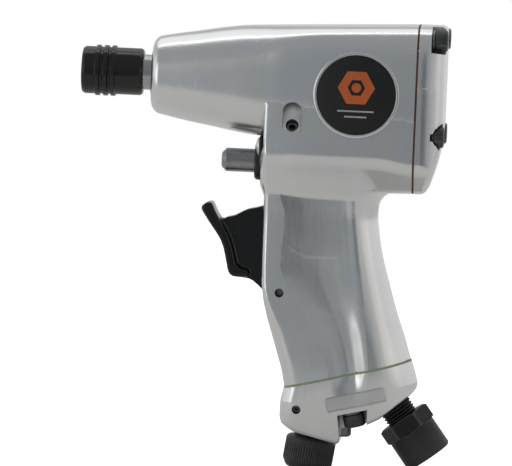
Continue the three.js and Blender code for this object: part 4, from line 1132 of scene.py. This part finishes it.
# ------------------------------------------------------------------ regulator knob, stem and pin
kn = lambda r: (lambda ph: r + 0.20 * (np.abs(np.mod(ph * 60 / (2 * math.pi), 1.0) - 0.5) * 2 - 0.5) * 1.0)
knob_rings = [(-1.6, 0), (-1.6, 4.3)]
knob_rings = [(6.0, 0), (6.0, 4.3), (-1.6, 4.3), (-1.6, 8.6), (-1.45, 9.1), (-0.8, 9.75), (-0.5, 9.95)]
knob_rings += [(-0.2, kn(9.98)), (2, kn(9.98)), (4, kn(9.98)), (6, kn(9.98)), (8.0, kn(9.98))]
knob_rings += [(8.4, 9.9), (9.4, 9.45), (10.6, 8.7), (11.15, 8.2), (11.35, 7.6), (11.4, 6.8), (11.4, 0)]
knob = revolve("regulator_knob_knurled", knob_rings, KNOB_O, KNOB_AXIS, seg=360, angle=40)
dress(knob, "knob", "regulator", "black_oxide", "regulator_knob")
stem = revolve("regulator_stem_turned", rounded([(5.7, 0), (5.7, 4.0), (-1.9, 4.0), (-1.9, 7.0, 0.1), (-2.2, 7.2, 0.1), (-11.0, 7.2), (-11.0, 5.4), (-15.2, 5.4), (-15.2, 7.2), (-18.2, 7.2), (-21.9, 3.0), (-21.9, 0)]),
               KNOB_O, KNOB_AXIS, seg=96)
dress(stem, "oxide", "regulator", "ground_steel", "regulator_stem")
pin = revolve("regulator_roll_pin", [(-14.6, 0.85), (-14.6, 1.35), (-14.3, 1.6), (14.3, 1.6), (14.6, 1.35), (14.6, 0.85)], (22.7, 0, -130.9), (0, 1, 0), seg=48)
dress(pin, "washer", "body", "spring_washer", "regulator_pin")
tpin = revolve("trigger_pin_ground", rounded([(-13.4, 0), (-13.4, 1.6, 0.3), (13.4, 1.6, 0.3), (13.4, 0)]), (13.9, 0, -84.8), (0, 1, 0), seg=48)
dress(tpin, "washer", "body", "ground_steel", "trigger_pin")
exh = revolve("exhaust_deflector_turned", rounded([(-9, 2.0), (-9, 3.6), (0.8, 3.6, 0.2), (1.6, 2.8, 0.2), (1.6, 2.0), (1.5, 2.0)]), (40.6, 0, -140.9), (0, 0, -1), seg=72)
dress(exh, "washer", "body", "spring_washer", "exhaust_deflector")

# ------------------------------------------------------------------ air inlet with pipe thread and hexagon
PITCH = 1.337


def thread_r(s):
    """Radius round the pipe thread at a height s, one turn per pitch."""
    def f(ph):
        q = np.mod(s / PITCH - ph / (2 * math.pi), 1.0)
        saw = np.abs(q - 0.5) * 2
        fade = np.clip((5.3 - s) / 0.9, 0, 1)
        return 6.02 + 0.80 * np.clip(saw * 1.25 - 0.12, 0, 1) * fade
    return f


def hex_ch(s):
    """Hexagon cut by the chamfer cones at both ends."""
    lim = min(10.97, 9.55 + max(0.0, (s - 5.4)) * 1.9, 9.9 + max(0.0, (12.0 - s)) * 2.2)
    h = hex_r(19.0, math.pi / 6)
    return lambda ph: np.minimum(h(ph), lim)


inlet_rings = [(-8.0, 3.8), (-8.0, 5.9)]
inlet_rings += [(s, thread_r(s)) for s in np.linspace(-7.8, 5.25, 110)]
inlet_rings += [(5.4, 6.3), (5.4, 9.2)] + [(s, hex_ch(s)) for s in (5.45, 5.6, 5.75, 5.9, 6.05, 6.2, 6.4, 9.0, 11.2, 11.4, 11.6, 11.8, 11.95)]
inlet_rings += [(12.0, 9.85), (12.05, 9.93), (12.3, 9.98), (12.6, 10.0), (23.45, 10.0), (23.7, 9.93), (24.0, 9.65), (24.35, 9.3), (24.52, 9.05), (24.58, 8.8), (24.58, 6.6), (24.4, 6.35), (23.4, 5.6)]
inlet_rings += [(s, 5.6 + (0.28 if i % 2 else -0.1)) for i, s in enumerate(np.linspace(23.0, 12.0, 17))]
inlet_rings += [(11.5, 5.6), (8.5, 5.6), (8.5, 3.8)]
inlet = revolve("inlet_bushing_threaded", inlet_rings, INLET_O, INLET_AXIS, seg=144, angle=28)
dress(inlet, "oxide", "body", "black_oxide", "inlet_bushing")

# ------------------------------------------------------------------ trigger
TX, TZ = 13.9, -84.8
blade_line = []
for a in np.linspace(-41, 8, 22):
    r_ = 34.6 + 0.6 * float(sstep(-18, -26, a)) + 1.6 * float(sstep(-33, -41, a))
    blade_line.append((TX + r_ * math.sin(math.radians(a)), TZ + r_ * math.cos(math.radians(a))))
blade_line += [(TX + 2.25, TZ + 15.8), (TX + 1.40, TZ + 14.4), (TX + 1.36, TZ + 11.0), (TX + 0.70, TZ + 4.95)]
blade_line += [(TX + 3.9 * math.sin(math.radians(a)), TZ + 3.9 * math.cos(math.radians(a))) for a in np.linspace(60, 235, 12)]
blade_line += [(8.4, -86.2), (6.4, -84.9), (4.4, -83.0), (2.2, -81.3), (-0.6, -80.0), (-3.0, -79.4), (-5.0, -77.0), (-6.4, -70.0), (-9.0, -63.6), (-11.2, -60.2), (-12.4, -57.6)]
plate_line = spline_pts([(-19.15, -53.4), (-17.0, -56.8), (-14.4, -60.5), (-12.6, -63.0), (-11.2, -65.2), (-9.9, -68.2), (-9.0, -71.6), (-8.3, -74.6), (-7.8, -76.9), (-7.0, -78.7), (-5.5, -79.7),
                         (-3.2, -79.95), (-0.4, -79.85), (0.5, -79.0), (0.2, -77.0), (-2.2, -76.4), (-4.4, -74.6), (-5.4, -71.0), (-6.6, -66.8), (-8.6, -62.4), (-11.0, -58.3), (-13.3, -54.6),
                         (-14.6, -51.9), (-15.5, -50.75), (-17.0, -50.7), (-18.6, -51.7)], 5)


def d_trigger(p):
    x, y, z = p[:, 0], np.abs(p[:, 1]), p[:, 2]
    bl = r_and(d_poly(x, z, blade_line), y - 4.0, 0.5)
    w = 8.0 - 0.9 * sstep(-62, -50.5, z)
    pl = r_and(d_poly(x, z, plate_line), y - w, 1.3)
    d = r_or(bl, pl, 1.6)
    d = np.maximum(d, y - 8.0)
    d = np.where(z > -54.5, np.minimum(bl, pl), d)
    return cut(d, np.hypot(x - TX, z - TZ) - 1.85, 0.15)


trig = field_mesh("trigger_lever", d_trigger, (-20.0, -8.6, -89.6), (19.6, 8.7, -49.4), 0.42)
dress(trig, "paint", "trigger", "black_paint", "trigger")

# ------------------------------------------------------------------ pieces kept as the frame has them
KEEP = {"washer": ["chuck_ring"], "brass": ["anvil_bushing", "throttle_bushing", "inlet_screen"],
        "tool": ["front_end_plate", "rear_end_plate", "hammer_cage", "hammer_dog_1", "hammer_dog_2"],
        "fibre": ["vane_1", "vane_2", "vane_3", "vane_4"],
        "steel": ["motor_cylinder", "rotor", "hammer_pin_1", "hammer_pin_2", "front_bearing", "rear_bearing", "throttle_stem",
                  "throttle_ball", "throttle_spring", "detent_ball", "detent_spring", "bit_ball", "chuck_spring"]}
for key, names in KEEP.items():
    for nm in names:
        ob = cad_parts[nm]
        ob.data.materials.clear()
        ob.data.materials.append(M[key])

# ------------------------------------------------------------------ floor, backdrop, light and camera
def floor_sheet():
    """Pale flat studio floor under the part."""
    prof = [(-0.42, 0.0), (0.45, 0.0), (1.5, 0.0)]
    verts, faces = [], []
    for y, z in prof:
        verts += [(-2.6, y, z), (2.6, y, z)]
    for i in range(len(prof) - 1):
        faces.append([2 * i, 2 * i + 1, 2 * i + 3, 2 * i + 2])
    me = bpy.data.meshes.new("studio_floor")
    me.from_pydata(verts, [], faces)
    me.polygons.foreach_set("use_smooth", [True] * len(faces))
    ob = bpy.data.objects.new("studio_floor", me)
    bpy.context.scene.collection.objects.link(ob)
    m = bpy.data.materials.new("studio_paper")
    m.use_nodes = True
    t = m.node_tree
    b = t.nodes["Principled BSDF"]
    b.inputs["Base Color"].default_value = (0.88, 0.865, 0.835, 1)
    b.inputs["Roughness"].default_value = 0.9
    b.inputs["Specular IOR Level"].default_value = 0.1
    # the paper burns out to white where it is seen directly, as a lit backdrop does
    lp, mu = t.nodes.new("ShaderNodeLightPath"), t.nodes.new("ShaderNodeMath")
    mu.operation = "MULTIPLY"
    mu.inputs[1].default_value = 0.9
    t.links.new(lp.outputs["Is Camera Ray"], mu.inputs[0])
    b.inputs["Emission Color"].default_value = (1, 1, 1, 1)
    t.links.new(mu.outputs[0], b.inputs["Emission Strength"])
    me.materials.append(m)
    return ob


floor_sheet()


def area_light(name, loc, target, size, power, colour=(1, 1, 1), size_y=None):
    d = bpy.data.lights.new(name, "AREA")
    d.shape = "RECTANGLE"
    d.size, d.size_y = size, size_y or size
    d.energy = power
    d.color = colour
    o = bpy.data.objects.new(name, d)
    o.location = loc
    o.rotation_euler = (Vector(target) - Vector(loc)).to_track_quat("-Z", "Y").to_euler()
    bpy.context.scene.collection.objects.link(o)
    return o


MID = row((2.6, 0.0, -62.5))
area_light("overhead_softbox", (0.0, 0.55, 1.05), (0.0, 0.25, 0.0), 1.9, 2.7, (1, 1, 1), 0.75)
area_light("overhead_strip", (0.0, 0.12, 1.12), (0.0, 0.0, 0.1), 1.2, 0.9, (1, 1, 1), 0.09)
area_light("right_softbox", (1.25, -0.10, 0.40), (0.0, 0.0, 0.12), 0.7, 0.3, (1, 0.98, 0.95), 0.8)
area_light("left_strip", (-1.02, -0.99, 0.24), (0.0, 0.0, 0.10), 0.46, 1.6, (1, 1, 1), 1.0)

world = bpy.data.worlds.new("studio_room")
bpy.context.scene.world = world
world.use_nodes = True
wn, wl = world.node_tree.nodes, world.node_tree.links


def w_range(src, lo, hi, a_, b_):
    n = wn.new("ShaderNodeMapRange")
    n.interpolation_type = "SMOOTHSTEP"
    for k, v in zip(("From Min", "From Max", "To Min", "To Max"), (lo, hi, a_, b_)):
        n.inputs[k].default_value = v
    wl.new(src, n.inputs["Value"])
    return n.outputs["Result"]


def w_mix(fac, a_, b_):
    n = wn.new("ShaderNodeMix")
    n.data_type = "RGBA"
    wl.new(fac, n.inputs["Factor"])
    for sock, v in ((n.inputs[6], a_), (n.inputs[7], b_)):
        if isinstance(v, tuple):
            sock.default_value = (*v, 1)
        else:
            wl.new(v, sock)
    return n.outputs[2]


# a grey room in front, a bright diffuser overhead and behind, a softer one to the right
w_dir = wn.new("ShaderNodeTexCoord")
w_sep = wn.new("ShaderNodeSeparateXYZ")
wl.new(w_dir.outputs["Generated"], w_sep.inputs[0])
room = w_mix(w_range(w_sep.outputs["Z"], -0.2, 0.9, 0, 1), (0.275, 0.295, 0.31), (0.33, 0.345, 0.355))
room = w_mix(w_range(w_sep.outputs["X"], 0.38, 1.0, 0, 1), room, (0.54, 0.53, 0.51))
room = w_mix(w_range(w_sep.outputs["X"], -0.64, -0.92, 0, 1), room, (0.90, 0.91, 0.92))
back = w_mix(w_range(w_sep.outputs["Z"], 0.10, 0.55, 0, 1), (0.74, 0.74, 0.73), (0.44, 0.44, 0.44))
room = w_mix(w_range(w_sep.outputs["Y"], -0.15, 0.25, 0, 1), room, back)
# the dark shape of the camera and its stand, a little to the right of the axis
w_dot = wn.new("ShaderNodeVectorMath")
w_dot.operation = "DOT_PRODUCT"
wl.new(w_dir.outputs["Generated"], w_dot.inputs[0])
w_dot.inputs[1].default_value = Vector((math.sin(math.radians(14)), -math.cos(math.radians(14)), math.sin(math.radians(-9)))).normalized()
room = w_mix(w_range(w_dot.outputs["Value"], math.cos(math.radians(19)), math.cos(math.radians(8)), 0, 1), room, (0.13, 0.135, 0.14))
# seen directly, the backdrop is plain white
w_path = wn.new("ShaderNodeLightPath")
room = w_mix(w_path.outputs["Is Camera Ray"], room, (1.0, 1.0, 1.0))
wl.new(room, wn["Background"].inputs["Color"])
wn["Background"].inputs["Strength"].default_value = 1.0

cam_data = bpy.data.cameras.new("studio_camera")
cam = bpy.data.objects.new("studio_camera", cam_data)
bpy.context.scene.collection.objects.link(cam)
cam_data.sensor_width = 36.0
cam_data.lens = 351.0
cam_data.clip_end = 50.0
cam_data.dof.use_dof = False
AZ, EL, ROLL = math.radians(3.7), math.radians(3.8), math.radians(2.4)
away = Vector((math.sin(AZ) * math.cos(EL), -math.cos(AZ) * math.cos(EL), math.sin(EL)))
cam.location = Vector(MID) + away * 2.0
cam.rotation_mode = "QUATERNION"
cam.rotation_quaternion = (-away).to_track_quat("-Z", "Y") @ Quaternion((0, 0, 1), ROLL)
bpy.context.scene.camera = cam
bpy.context.scene.view_settings.view_transform = "Standard"
